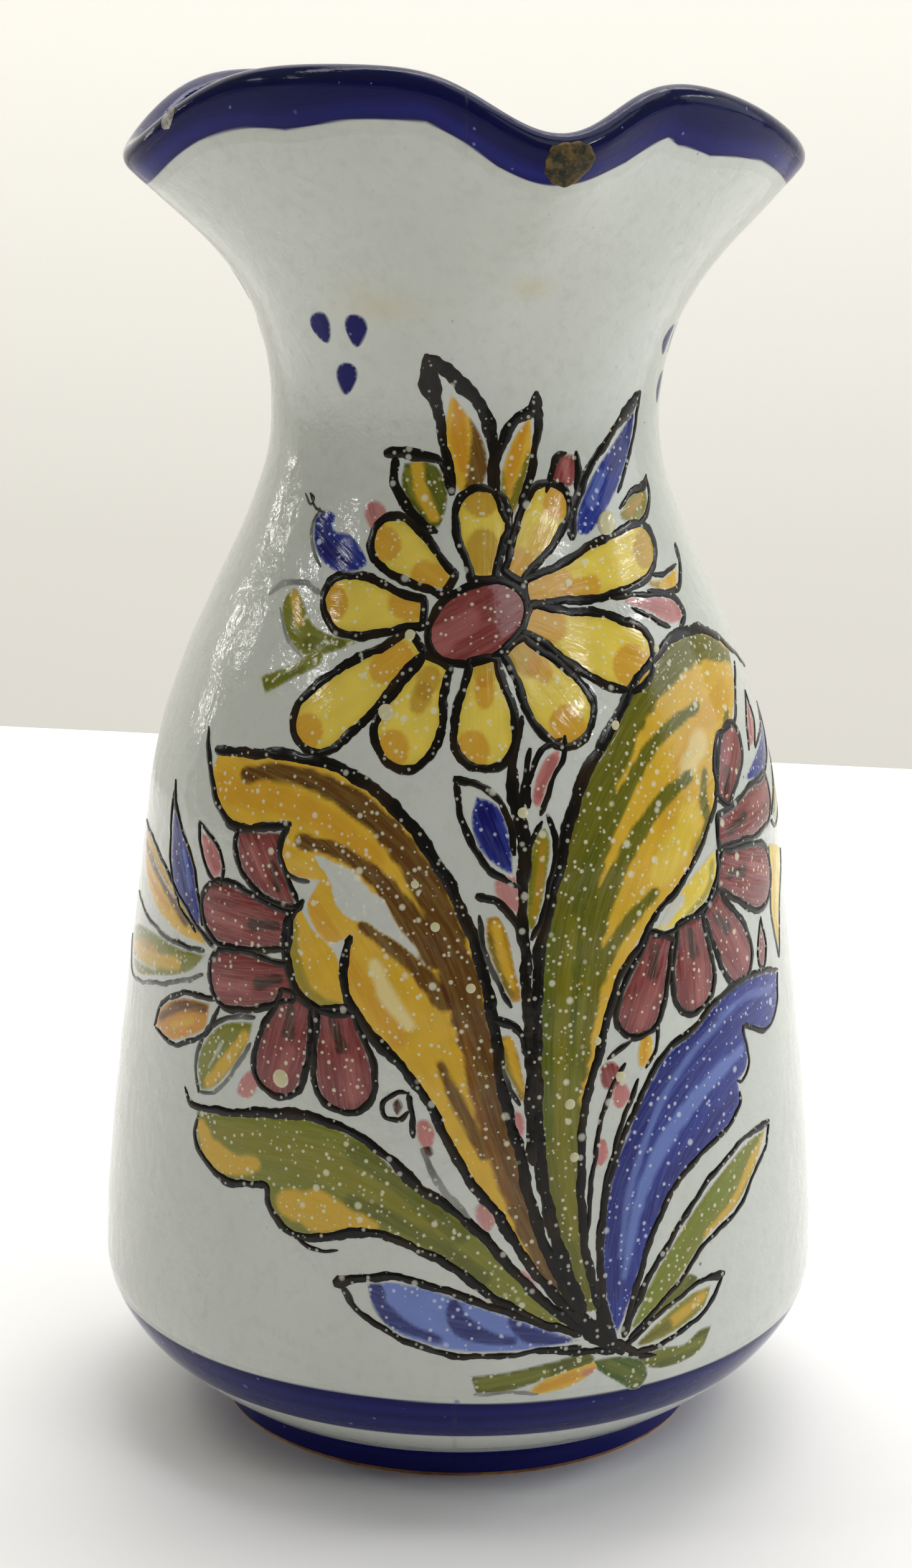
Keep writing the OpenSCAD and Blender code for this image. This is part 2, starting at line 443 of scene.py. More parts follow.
def raw_clay(name, pale, dark, patch=90.0):
    """Fired earthenware: warm buff with darker grit and pores."""
    made, tree, shader = new_material(name, 0.85, 1.45)
    where = place_of(tree)
    patches = steps(tree, noise(tree, where, patch, 6, 0.7), 0.38, 0.62)
    grit = noise(tree, where, 900, 4, 0.7)
    colour = mixed(tree, patches, tone(*dark), tone(*pale))
    colour = mixed(tree, steps(tree, grit, 0.42, 0.7, 0.0, 0.6), colour, tone(*dark))
    feed(tree, colour, shader.inputs["Base Color"])
    feed(tree, steps(tree, grit, 0.3, 0.7, 0.95, 0.7), shader.inputs["Roughness"])
    bumped(tree, grit, 0.00025, shader)
    return made


# Share of bubbles, strength of the streaks and their tint, shine, then tone of bubbles, roughness, ripple
ENAMELS = {
    "cobalt_glaze": (0.02, 0.05, (48, 52, 140), 0.14, (120, 125, 190), 0.06, 0.7),
    "yellow_enamel": (0.52, 0.08, (238, 216, 120), 0.45),
    "green_enamel": (0.68, 0.14, (176, 172, 80), 0.4),
    "maroon_enamel": (0.42, 0.17, (206, 150, 142), 0.5),
    "blue_enamel": (0.5, 0.14, (120, 140, 210), 0.35, (205, 212, 232)),
    "black_outline": (0.45, 0.04, (110, 100, 80), 0.25, (196, 196, 180), 0.12),
}
FINISH = {"white_glaze": white_glaze("white_glaze")}
for name, values in ENAMELS.items():
    FINISH[name] = enamel(name, *values)
FINISH["fired_clay"] = raw_clay("fired_clay", (196, 150, 104), (150, 102, 66))
print("finishes:", list(FINISH))


# %% [markdown]
# ## Coats of glaze
# A coat is a thin closed skin: rows of points run up its outer face and down its back, all the way
# round. It could be the frame's own solid with a new material, but a glossy glaze shows every facet of
# a 72-sided body, so each coat is laid again on the same outline with hundreds of steps, and stands for
# the frame's solid.

# %% Build closed skins
MARK_KINDS = {1: ("FLOAT", "value"), 3: ("FLOAT_VECTOR", "vector"), 4: ("FLOAT_COLOR", "color")}


def piece(name, points, faces, slot, marks=None, crease=50):
    """A mesh piece, drawn in millimetres, that rides on the body, with its values for each point."""
    mesh = bpy.data.meshes.new(name)
    mesh.from_pydata((np.asarray(points) * MM).tolist(), [], faces)
    mesh.validate()
    for label, values in (marks or {}).items():
        values = np.asarray(values, float)
        kind, field = MARK_KINDS[1 if values.ndim == 1 else values.shape[1]]
        mesh.attributes.new(label, kind, "POINT").data.foreach_set(field, values.ravel())
    mesh.polygons.foreach_set("use_smooth", [True] * len(mesh.polygons))
    mesh.set_sharp_from_angle(angle=math.radians(crease))
    made = bpy.data.objects.new(name, mesh)
    bpy.context.scene.collection.objects.link(made)
    made.data.materials.append(FINISH[slot])
    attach(made, "root")
    return made


def skin(name, slot, directions, face, back, marks=None):
    """A closed skin from two grids of radius and height, directions by rows."""
    n, m = face.shape[:2]
    grid = np.concatenate([face, back[:, ::-1]], 1)
    points = to_space(directions[:, None], grid[..., 0], grid[..., 1]).reshape(-1, 3)
    around = 2 * m
    faces = [(j * around + i, ((j + 1) % n) * around + i, ((j + 1) % n) * around + (i + 1) % around,
              j * around + (i + 1) % around) for j in range(n) for i in range(around)]
    marks = {key: np.concatenate([value, value[:, ::-1]], 1).reshape((n * around,) + value.shape[2:])
             for key, value in (marks or {}).items()}
    return piece(name, points, faces, slot, marks)


def all_round(count):
    return np.arange(count) * 360 / count


def side_rows(parts, depth):
    """Rows up or down the turned part of the wall: curve, start, end, number and rows to leave out."""
    return np.concatenate([sunk(curve, np.linspace(start, end, number), depth)[skip:]
                           for curve, start, end, number, skip in parts])


def round_brush(ways, radius, up):
    """Brush places on a band that is painted while the pot turns."""
    return np.stack([np.radians(ways)[:, None] * radius + 0 * up, up, 0 * up], -1)


def spread(rows, count):
    """The same rows in every direction."""
    return np.broadcast_to(rows, (count,) + rows.shape).copy()


# %% White coats, outside and inside
WHITE_STEPS = 240
COAT_DEPTH = glaze * 0.9
STAINS = [(-13.5, 193, 6, 1.8, 0.4), (10, 196.5, 3.2, 1.4, 0.45), (-17, 196, 5, 2.2, 0.16)]
ways = all_round(WHITE_STEPS)


def outside_rows(depth, top=0.965):
    lower = side_rows([(HEEL, 0.78, 1, 6, 0), (SIDE, 0, 1, 34, 1), (NECK, 0, 1, 40, 1)], depth)
    flared = sunk(flare(ways), np.linspace(0, top, 34), depth)[:, 1:]
    return np.concatenate([spread(lower, len(ways)), flared], 1)


def inside_rows(depth, top=0.93):
    lower = side_rows([(NECK, 1, 0, 30, 1), (SIDE, 1, 0, 24, 1), (HEEL, 1, 0, 14, 1)], depth)
    floor = np.linspace(1, 0.01, 8)[1:, None] * [[lower[-1, 0], 0]] + [[0, lower[-1, 1]]]
    flared = sunk(flare(ways), np.linspace(top, 0, 30), depth)
    return np.concatenate([flared, spread(np.concatenate([lower, floor]), len(ways))], 1)


face, back = outside_rows(0.0), outside_rows(COAT_DEPTH)
z = face[..., 1]
round_mm = np.radians(turn_between(ways, 0))[:, None] * face[..., 0]
stain = sum(strength * np.exp(-((round_mm - at) / wide) ** 2 - ((z - up) / high) ** 2)
            for at, up, wide, high, strength in STAINS)
outer_white = skin("outer_white_coat", "white_glaze", ways, face, back, {"stain": stain})
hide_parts("outer_glaze")
face, back = inside_rows(wall), inside_rows(wall - COAT_DEPTH)
inner_white = skin("inner_white_coat", "white_glaze", ways, face, back, {"stain": 0 * face[..., 0]})
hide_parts("inner_glaze")
t = np.linspace(0.02, 0.44, 14)
face, back = (spread(sunk(HEEL, t, depth), len(ways)) for depth in (0, COAT_DEPTH))
foot_white = skin("foot_white_stripe", "white_glaze", ways, face, back, {"stain": 0 * face[..., 0]})
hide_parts("foot_stripe")
print("white coats:", outer_white.name, inner_white.name, foot_white.name)


# %% [markdown]
# ## Cobalt bands
# The bands are painted with a loaded brush while the pot turns, so their edges wander by half a
# millimetre and bleed a pale blue halo into the white. Each band is its own raised skin over the white.
# A cover value fades from full blue to nothing across the edge, and the colour shifts where the glaze ran
# thick or thin. The paler blue near the rim band's lower edge is also a painted reflection of the table,
# and the lower foot band is painted paler as painted light bounced up from the table into its shade.

# %% Noise that closes round the pot
rng = np.random.default_rng(7)


def wander(directions, reach, waves=9, first=2):
    """A smooth random line round the pot that ends where it began."""
    a = np.radians(directions)
    total = sum(rng.normal() / math.sqrt(k) * np.sin(k * a + rng.uniform(0, 6.3))
                for k in range(first, first + waves))
    return reach * total / 2


def blue_cover(inside_by, halo=0.9):
    """Full blue well inside the edge, then a soft fall and a faint halo outside."""
    core = np.clip((inside_by + 0.25) / 0.55, 0, 1)
    bleed = 0.16 * np.exp(-np.abs(np.minimum(inside_by, 0)) / halo) * (inside_by < 0.3)
    return np.clip(0.96 * core * core * (3 - 2 * core) + bleed, 0, 1)


COBALT = np.array(tone(10, 9, 72))
COBALT_PALE = np.array(tone(27, 30, 112))


# %% Bands at the foot
BAND_STEPS = 480
ways = all_round(BAND_STEPS)


HEEL_LENGTH = 24.0


def heel_band(name, t_low, t_high, paint_low, replaced, lift=0.05, rows=44):
    """A cobalt band on the heel between two places on its curve."""
    t = np.linspace(t_low - 0.04, t_high + 0.04, rows)
    low = paint_low + wander(ways, 0.006)[:, None]
    high = t_high + wander(ways, 0.008)[:, None]
    inside_by = np.minimum((t[None] - low) * HEEL_LENGTH, (high - t[None]) * HEEL_LENGTH)
    cover = blue_cover(inside_by, 0.35)
    rise = np.clip(inside_by, 0, 1) * lift + 0.01
    uneven_tone = 0.5 + wander(ways, 0.5, 12, 6)[:, None] * 0.6 + 0.3 * np.sin(t[None] * 60)
    uneven_tone = np.clip(uneven_tone, 0, 1)[..., None]
    edge = np.clip(1 - inside_by / 1.6, 0, 1)[..., None]
    paint = COBALT * (1 - uneven_tone) + COBALT_PALE * uneven_tone * 0.8 + COBALT * 0.2 * uneven_tone
    paint = paint * (1 - 0.35 * edge) + COBALT * 0.35 * edge
    face = sunk(HEEL, t, 0.0)[None] - rise[..., None] * into_wall(along_curve(HEEL, t))[None]
    back = spread(sunk(HEEL, t, glaze * 0.5), len(ways))
    brush = round_brush(ways, 60, t[None] * HEEL_LENGTH + 0 * cover)
    made = skin(name, "cobalt_glaze", ways, face, back, {"cover": cover, "paint": paint, "brush": brush})
    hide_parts(replaced)
    return made


upper_band = heel_band("upper_foot_band_blue", 0.35, 0.83, 0.52, "upper_foot_band")

foot_rows = np.array([[foot_r, z] for z in (bare_h, bare_h + 0.5, foot_h - 0.7, foot_h - 0.1)])
turn_rows = sunk(HEEL, np.linspace(0.01, 0.20, 8), 0.0)
foot_face = spread(np.concatenate([foot_rows, turn_rows]), BAND_STEPS)
foot_back = foot_face - np.array([glaze, -0.25])
reach = np.linspace(0, 1, 12)[None] + 0 * ways[:, None]
foot_cover = np.clip((1.02 + wander(ways, 0.05)[:, None] - reach) / 0.10, 0, 1)
foot_face[..., 0] += 0.05 * foot_cover
# The lower band is painted mostly in paler cobalt: painted light for the light bounced up from the table
# into the shaded undercut.
lower_band = skin("lower_foot_band_blue", "cobalt_glaze", ways, foot_face, foot_back, {
    "cover": foot_cover, "paint": (COBALT * 0.2 + COBALT_PALE * 0.8) + 0 * foot_cover[..., None],
    "brush": round_brush(ways, foot_r, reach * 5)})
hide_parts("lower_foot_band")
print("foot bands:", upper_band.name, lower_band.name)

# %% Rim band over the lip
RIM_STEPS = 720
ways = all_round(RIM_STEPS)
# Where the band ends on the flare, as a part of its curve, direction by direction from the front
RIM_EDGE = [(-110, 0.925), (-55, 0.93), (-34, 0.902), (-7, 0.944), (5, 0.91), (16, 0.917), (28, 0.906),
    (37, 0.932), (40, 0.907), (49, 0.886), (65, 0.925), (95, 0.93), (140, 0.91), (185, 0.93),
    (215, 0.905)]
edge_at, edge_t = np.array(RIM_EDGE).T
rim_t = np.interp(ways, edge_at, edge_t, period=360) + wander(ways, 0.0035, 14, 5)
shape = flare(ways)
arc = np.linalg.norm(3 * (shape[:, 3] - shape[:, 2]), axis=1)
share = np.concatenate([np.linspace(0, 0.3, 9)[:-1], np.linspace(0.3, 1, 12)])
t = rim_t[:, None] - 0.035 + (1.035 - rim_t)[:, None] * share[None]
inside_by = (t - rim_t[:, None]) * arc[:, None]
lip_turn = np.linspace(0, 180, 26)[1:]
inner_t = np.linspace(1, 0.905, 10)[1:]
rise = 0.07 * np.clip(inside_by / 1.2, 0, 1) + 0.01


def rim_rows(outer_depth, depth):
    outer = on_curve(shape, t) + outer_depth[..., None] * into_wall(along_curve(shape, t))
    return np.concatenate([outer, round_lip(shape, lip_turn, depth), sunk(shape, inner_t, wall - depth)], 1)


inner_by = (inner_t - 0.925)[None] * arc[:, None] + wander(ways, 0.3)[:, None]
full = np.ones((RIM_STEPS, len(lip_turn)))
cover = np.concatenate([blue_cover(inside_by), full, blue_cover(inner_by)], 1)
around_lip = np.concatenate([inside_by, 6 + np.radians(lip_turn)[None] * lip_r + 0 * rim_t[:, None],
                             15 - inner_by], 1)
run_thick = 0.5 + 0.5 * np.sin(np.radians(ways) * 5 + 1.3)[:, None] * np.sin(around_lip * 0.7)
# Paler cobalt near the rim band's lower edge: a painted reflection of the table, varied with the glaze's
# thick and thin runs.
pale = np.clip(np.exp(-((around_lip - 1.6) / 1.5) ** 2) * (0.55 + 0.45 * run_thick), 0, 1)[..., None]
worn = np.clip(np.exp(-((around_lip - 8.4) / 1.7) ** 2) * (0.35 + 0.65 * run_thick), 0, 1)[..., None]
paint = COBALT * (1 - pale) + COBALT_PALE * pale
paint = paint * (1 - 0.7 * worn) + np.array(tone(34, 40, 44)) * 0.7 * worn
face, back = rim_rows(-rise, -0.06), rim_rows(0 * rise + 0.2, glaze * 0.8)
rim_blue = skin("rim_band_blue", "cobalt_glaze", ways, face, back,
                {"cover": cover, "paint": paint, "brush": round_brush(ways, mouth_r, around_lip)})
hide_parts("rim_band_glaze")
print("rim band:", len(rim_blue.data.polygons), "faces")

# %% [markdown]
# ## Bare clay
# Under the glaze the pot is buff earthenware. It shows on the ring it stands on and under the foot,
# where the glaze was wiped off for the kiln. The frame's clay body has the right shape, so it only gets
# a clay finish.

# %% Clay finish on the frame's body
clay = nodes["clay_body"]
clay.data.materials.clear()
clay.data.materials.append(FINISH["fired_clay"])
print("clay body carries", clay.data.materials[0].name)


# %% [markdown]
# ## Brush work
# The flowers are brushed on in coloured glaze: first the fills, then strokes of a second colour over
# them, and last a black line round each petal and leaf. All of it stands a tenth of a millimetre proud,
# which is what breaks the lamps' reflections. An image on the white coat would be flat, so every fill
# is a closed patch with its own relief, cut along its drawn outline, and every line is a ribbon with a
# round back.

# %% Smooth lines through a few places
def through(points, closed=False, step=0.5):
    """A smooth line through places, with a point every step. Further columns, such as widths, go along."""
    p = np.asarray(points, float)
    p = np.vstack([p[-1:], p, p[:2]]) if closed else np.vstack([2 * p[0] - p[1], p, 2 * p[-1] - p[-2]])
    gaps = np.sqrt(np.linalg.norm(np.diff(p[:, :2], axis=0), axis=1)) + 1e-6
    pull = np.diff(p, axis=0) / gaps[:, None]
    speed = (pull[:-1] * gaps[1:, None] + pull[1:] * gaps[:-1, None]) / (gaps[:-1] + gaps[1:])[:, None]
    line = []
    for i in range(len(p) - 3):
        a, b, h = p[i + 1], p[i + 2], gaps[i + 1]
        count = max(2, math.ceil(np.linalg.norm((b - a)[:2]) / step))
        t = (np.arange(count) / count)[:, None]
        line.append((2 * t**3 - 3 * t**2 + 1) * a + (t**3 - 2 * t**2 + t) * h * speed[i]
                    + (3 * t**2 - 2 * t**3) * b + (t**3 - t**2) * h * speed[i + 1])
    return np.concatenate(line + ([] if closed else [p[-2:-1]]))


def outline_of(places, step=0.5):
    """A closed outline. A place with a third value is a sharp corner."""
    corners = [i for i, place in enumerate(places) if len(place) == 3]
    flat = [place[:2] for place in places]
    if not corners:
        return through(flat, True, step)
    flat = flat[corners[0]:] + flat[:corners[0]] + [flat[corners[0]]]
    cuts = [i - corners[0] for i in corners] + [len(places)]
    return np.concatenate([through(flat[a:b + 1], False, step)[:-1] for a, b in zip(cuts, cuts[1:])])


def within(places, edge):
    x, y = places.T
    hit = np.zeros(len(places), bool)
    for (ax, ay), (bx, by) in zip(edge, np.roll(edge, -1, 0)):
        if ay != by:
            hit ^= ((ay > y) != (by > y)) & (x < (bx - ax) * (y - ay) / (by - ay) + ax)
    return hit


def nearest(places, line, closed=False):
    """How far each place is from a line, how far along it and on which side."""
    a = line[:, :2]
    b = np.roll(a, -1, 0) if closed else a[1:]
    a = a[:len(b)]
    way = b - a
    size = np.maximum((way * way).sum(1), 1e-9)
    t = np.clip(((places[:, None] - a) * way).sum(-1) / size, 0, 1)
    off = places[:, None] - (a + t[..., None] * way)
    gap = np.linalg.norm(off, axis=-1)
    best = gap.argmin(1)
    rows = np.arange(len(places))
    side = np.sign(way[best, 0] * off[rows, best, 1] - way[best, 1] * off[rows, best, 0])
    return gap[rows, best], best + t[rows, best], side


def quiver(at, reach, pitch):
    """A hand's unsteadiness along a line, in millimetres."""
    total = sum(np.sin(at * 2 * math.pi / (pitch * k) + rng.uniform(0, 6.3)) * k for k in (1.0, 0.53, 0.29))
    return reach * total / 1.3


# %% Fills
GRID = 0.52


def patch(name, slot, edge, base, strokes=(), spine=None, edge_tone=None, cover=1.0, lift=0.09,
          soft_edge=0.5):
    """A raised patch of paint, cut along its outline, with strokes laid over its base colour.

    A list of places is turned into its outline first. A stroke is its places with a width each, its colour,
    how strong it is and how soft its side is. With None for its colour it bares the white.
    """
    edge = outline_of(edge) if isinstance(edge, list) else edge
    (left, low), (right, high) = edge.min(0), edge.max(0)
    rows = np.arange(low, high, GRID * 0.87)
    across = [np.arange(left + (i % 2) * GRID / 2, right, GRID) for i in range(len(rows))]
    lattice = np.concatenate([np.stack([x, 0 * x + row], 1) for x, row in zip(across, rows)])
    lattice = lattice[within(lattice, edge)]
    if len(lattice):
        lattice = lattice[nearest(lattice, edge, True)[0] > GRID * 0.55]
    flat = np.concatenate([edge, lattice])
    ring = [(i, (i + 1) % len(edge)) for i in range(len(edge))]
    made = delaunay_2d_cdt([Vector(p) for p in flat.tolist()], ring, [], 0, 1e-5)
    flat = np.array([tuple(v) for v in made[0]])
    triangles = np.array([f for f in made[2] if len(f) == 3])
    triangles = triangles[within(flat[triangles].mean(1), edge)]
    used = np.unique(triangles)
    flat, triangles = flat[used], np.searchsorted(used, triangles)
    count = len(flat)
    from_edge = nearest(flat, edge, True)[0]
    colour = np.tile(np.array(base), (count, 1))
    x, y = flat.T
    shade = 1 + 0.05 * np.sin(x * 0.9 + 1.7 * np.sin(y * 0.5)) * np.sin(y * 0.7 + 1)
    colour[:, :3] *= shade[:, None]
    thick = np.full(count, float(cover))
    if edge_tone is not None:
        near = 0.55 * np.exp(-(from_edge / 1.1) ** 2)[:, None]
        colour = colour * (1 - near) + np.array(edge_tone) * near
    for places, tone_over, strength, soft in strokes:
        line = through(places, False, 0.8)
        gap, at, _ = nearest(flat, line)
        half = np.interp(at, np.arange(len(line)), line[:, 2]) / 2
        half = half * (1 + 0.1 * np.sin(at * 0.9 + 2 * np.sin(at * 0.31)))
        mask = strength * np.clip((half - gap) / (0.5 * soft) + 0.5, 0, 1)
        if tone_over is None:
            thick = thick * (1 - mask)
        else:
            colour = colour * (1 - mask[:, None]) + np.array(tone_over) * mask[:, None]
            thick = np.maximum(thick, mask * cover)
    thick = thick * np.clip(from_edge / soft_edge + 0.35, 0, 1)
    if spine is None:
        middle, way = flat.mean(0), np.linalg.svd(flat - flat.mean(0), full_matrices=False)[2][0]
        spine = [middle - way * 40, middle + way * 40]
    spine = through(spine, False, 1.0)
    gap, at, side = nearest(flat, spine)
    brush = np.stack([at, gap * side, np.full(count, rng.uniform(0, 90))], 1)
    rise = 0.02 + lift * (1 - np.exp(-from_edge / 0.7)) * (0.35 + 0.65 * thick)
    rise += 0.012 * np.sin(brush[:, 1] * 3.1 + 2 * np.sin(at * 0.23)) * np.clip(from_edge, 0, 1)
    top, under = laid(flat, rise), laid(flat, np.full(count, -0.1))
    joins = {}
    for a, b, c in triangles.tolist():
        for side_of in ((a, b), (b, c), (c, a)):
            joins[side_of] = joins.get(side_of, 0) + 1
    walls = [(b, a, a + count, b + count) for a, b in joins if (b, a) not in joins]
    faces = triangles.tolist() + (triangles[:, ::-1] + count).tolist() + walls
    twice = {"paint": np.tile(colour, (2, 1)), "cover": np.tile(thick, 2), "brush": np.tile(brush, (2, 1))}
    return piece(name, np.concatenate([top, under]), faces, slot, twice, crease=60)


# %% Lines
INK = np.array(tone(14, 13, 11))
INK_BROWN = np.array(tone(62, 46, 26))


def ribbon(line, width=1.0, closed=False, cover=1.0, rise=0.17, blunt=0.45):
    """One brush line as a ribbon with a round back: its points, faces and values."""
    line = through(line, closed, 0.55) if len(line) < 60 else np.asarray(line)
    n = len(line)
    wide = line[:, 2] if line.shape[1] > 2 else np.full(n, float(width))
    flat = line[:, :2]
    way = (np.roll(flat, -1, 0) - np.roll(flat, 1, 0)) if closed else np.gradient(flat, axis=0)
    way /= np.maximum(np.linalg.norm(way, axis=1, keepdims=True), 1e-6)
    across = np.stack([-way[:, 1], way[:, 0]], 1)
    at = np.concatenate([[0], np.cumsum(np.linalg.norm(np.diff(flat, axis=0), axis=1))])
    fade = np.ones(n) if closed else np.clip(np.minimum(at, at[-1] - at) / 1.6 + blunt, 0, 1)
    hand = np.ones(n) if closed else np.clip(np.minimum(at, at[-1] - at) / 3, 0, 1)
    close = np.minimum(1, np.minimum(at, at[-1] - at) / 4) if closed else 1
    wide = wide * fade * (1 + quiver(at, 0.13, 7) * close + quiver(at, 0.07, 1.9) * close)
    flat = flat + across * (quiver(at, 0.14, 9) * hand * close)[:, None]
    parts = np.array([-1, -0.62, 0, 0.62, 1, 0.8, -0.8])
    lifts = np.array([0.12, 0.78, 1, 0.78, 0.12, -0.5, -0.5]) * rise
    sideways = across[:, None] * (parts[None, :, None] * wide[:, None, None] / 2)
    places = (flat[:, None] + sideways).reshape(-1, 2)
    dry = np.clip(cover + quiver(at, 0.07, 15), 0.2, 1)
    thick = (dry[:, None] * np.array([0.8, 1, 1, 1, 0.8, 1, 1])).ravel()
    points = laid(places, (lifts[None] * (0.6 + 0.4 * dry[:, None])).ravel())
    last = n if closed else n - 1
    faces = [(7 * i + k, 7 * i + (k + 1) % 7, 7 * ((i + 1) % n) + (k + 1) % 7, 7 * ((i + 1) % n) + k)
             for i in range(last) for k in range(7)]
    if not closed:
        faces += [tuple(range(6, -1, -1)), tuple(range(7 * n - 7, 7 * n))]
    brown = np.clip(quiver(at, 0.3, 23), 0, 0.6)
    colour = np.repeat(INK * (1 - brown[:, None]) + INK_BROWN * brown[:, None], 7, 0)
    own = np.full(7 * n, rng.uniform(0, 90))
    brush = np.stack([np.repeat(at, 7), np.tile(parts, n) * np.repeat(wide, 7), own], 1)
    return points, faces, thick, colour, brush


def ink(name, *lines):
    """Brush lines joined in one piece.

    A line is its places with a width each, or those and how well it covers. A closed one gives its ring of
    places, its width and how well it covers.
    """
    points, faces, thick, tones, brush = [], [], [], [], []
    count = 0
    for line in lines:
        if isinstance(line, list):
            made = ribbon(line)
        elif len(line) == 2:
            made = ribbon(line[0], cover=line[1])
        else:
            made = ribbon(line[0], line[1], True, line[2])
        points.append(made[0])
        faces += [tuple(v + count for v in face) for face in made[1]]
        count += len(made[0])
        thick.append(made[2])
        tones.append(made[3])
        brush.append(made[4])
    return piece(name, np.concatenate(points), faces, "black_outline", {
        "paint": np.concatenate(tones), "cover": np.concatenate(thick), "brush": np.concatenate(brush)},
        crease=70)


def petal(base, tip, width, narrow=0.5):
    """A petal's outline from where it starts to its round tip."""
    base, tip = np.array(base, float), np.array(tip, float)
    length = np.linalg.norm(tip - base)
    way = (tip - base) / length
    round_end = 0.6 + 0.4 * np.sin(np.linspace(0, 1, 14)[1:] * math.pi / 2)
    t = np.concatenate([np.linspace(0, 0.6, 14), round_end])
    swell = np.clip(t / 0.62, 0, 1)
    half = width / 2 * (narrow + (1 - narrow) * swell * swell * (3 - 2 * swell))
    round_from = 1 - min(0.6, 0.52 * width / length)
    half = half * np.sqrt(np.clip(1 - np.clip((t - round_from) / (1 - round_from), 0, 1) ** 2, 0, 1))
    right = base + t[:, None] * length * way + half[:, None] * [way[1], -way[0]]
    left = base + t[:, None] * length * way - half[:, None] * [way[1], -way[0]]
    return through(np.concatenate([right, left[-2::-1]]), True, 0.5)


def in_petal(base, tip, along, across=0.0):
    """A place in a petal: along from 0 at its base to 1 at its tip, across in millimetres."""
    base, tip = np.array(base, float), np.array(tip, float)
    way = (tip - base) / np.linalg.norm(tip - base)
    return tuple(base + (tip - base) * along + np.array([way[1], -way[0]]) * across)


print("brush work is ready")

# %% [markdown]
# ## The palette
# Majolica paint is a handful of metal oxides: antimony yellow, iron orange and brown, copper green,
# manganese maroon, cobalt blue and black. Each is named once here, as it looks when it is fired.

# %% Palette
LEMON, YELLOW, ORANGE = tone(232, 206, 84), tone(216, 172, 50), tone(204, 138, 28)
OCHRE, BROWN, DARK_BROWN = tone(176, 128, 26), tone(84, 46, 14), tone(50, 26, 10)
GREEN, LEAF_GREEN, OLIVE = tone(84, 90, 18), tone(122, 124, 38), tone(132, 124, 20)
MAROON, PINK, WINE = tone(128, 54, 52), tone(188, 116, 112), tone(78, 22, 24)
ROYAL, SKY, NAVY = tone(30, 42, 128), tone(112, 132, 196), tone(14, 12, 92)
PALE = tone(236, 226, 170)
print("palette is named")

# %% [markdown]
# ## The daisy
# Ten yellow petals stand round a maroon heart. Real petals of one brush hand share a shape but no two
# are equal, so one function draws each from its own start, tip and width, with orange dabs at both
# ends.

# %% Daisy
DAISY = [  # start, tip, width, dabs: along, across, width, colour
    ((-6.5, 146.3), (-23.5, 147.0), 8.6, [(0.95, 0, 5.5, ORANGE), (0.15, 1, 4.5, ORANGE)]),
    ((-2.5, 150.5), (-14.5, 158.5), 8.2, [(0.85, -1, 5.0, ORANGE), (0.2, -1, 5.0, ORANGE)]),
    ((3.0, 151.5), (2.6, 165.0), 8.4, [(0.3, 0, 5.5, OCHRE), (0.95, 0, 6.0, OCHRE)]),
    ((7.8, 151.8), (15.5, 165.0), 7.6, [(0.1, 0, 4.5, ORANGE), (0.45, 1, 3.5, YELLOW),
                                        (0.9, 1, 5.0, ORANGE)]),
    ((10.0, 149.2), (36.0, 154.6), 8.6, [(0.15, 0, 5.0, ORANGE), (0.35, 2, 4.0, ORANGE),
                                         (0.95, 0, 6.0, OCHRE)]),
    ((10.2, 145.6), (33.0, 136.6), 9.6, [(0.12, 0, 5.0, ORANGE), (0.85, 1, 6.0, ORANGE)]),
    ((8.0, 141.6), (19.5, 127.6), 9.4, [(0.15, 0, 4.0, OCHRE), (0.3, -1, 3.0, ORANGE),
                                        (0.85, 1, 5.5, ORANGE)]),
    ((3.2, 139.6), (3.6, 123.6), 9.6, [(0.1, 0, 3.4, OCHRE), (0.3, 0, 3.0, ORANGE),
                                       (0.85, 2, 5.0, ORANGE)]),
    ((-4.2, 139.2), (-11.0, 123.8), 9.8, [(0.2, 0, 3.4, OCHRE), (0.35, 0, 3.0, OCHRE),
                                          (0.9, 1, 5.0, ORANGE)]),
    ((-7.6, 142.0), (-27.3, 126.2), 8.8, [(0.2, 0, 5.0, ORANGE), (0.95, 0, 5.0, ORANGE)]),
]
NARROW_BASE, RING_WIDTH, RING_COVER = 0.46, 1.5, 0.97
rims = []
for number, (start, tip, width, dabs) in enumerate(DAISY):
    edge = petal(start, tip, width, NARROW_BASE)
    strokes = []
    for along, across, wide, colour in dabs:
        a, b = in_petal(start, tip, along - 0.06, across), in_petal(start, tip, along + 0.06, across)
        strokes.append(([a + (wide,), b + (wide,)], colour, 0.7, 0.7))
    patch(f"daisy_petal_{number + 1:02d}", "yellow_enamel", edge, LEMON, strokes, [start, tip],
        tone(176, 150, 40))
    rims.append((edge, RING_WIDTH, RING_COVER))
ink("daisy_outlines", *rims)
turn = np.linspace(0, 2 * math.pi, 64, endpoint=False)
tilted = np.array([[0.906, 0.423], [-0.423, 0.906]])
heart = np.stack([8.2 * np.cos(turn), 5.4 * np.sin(turn)], 1) @ tilted + [2.2, 145.0]
patch("daisy_heart", "maroon_enamel", heart, MAROON, [([(-4, 142, 4), (1, 145.5, 3)], PINK, 0.45, 2)],
    [(-6, 141), (10, 149)], lift=0.16)
ink("daisy_heart_outline", (heart, RING_WIDTH, 1))
print("daisy:", len(DAISY), "petals")


# %% [markdown]
# ## Buds and small leaves round the daisy
# These are two or three quick strokes each, so they are drawn as they were painted: a fill that doesn't
# quite reach its outline, and an outline with thick black tips where the brush was set down.

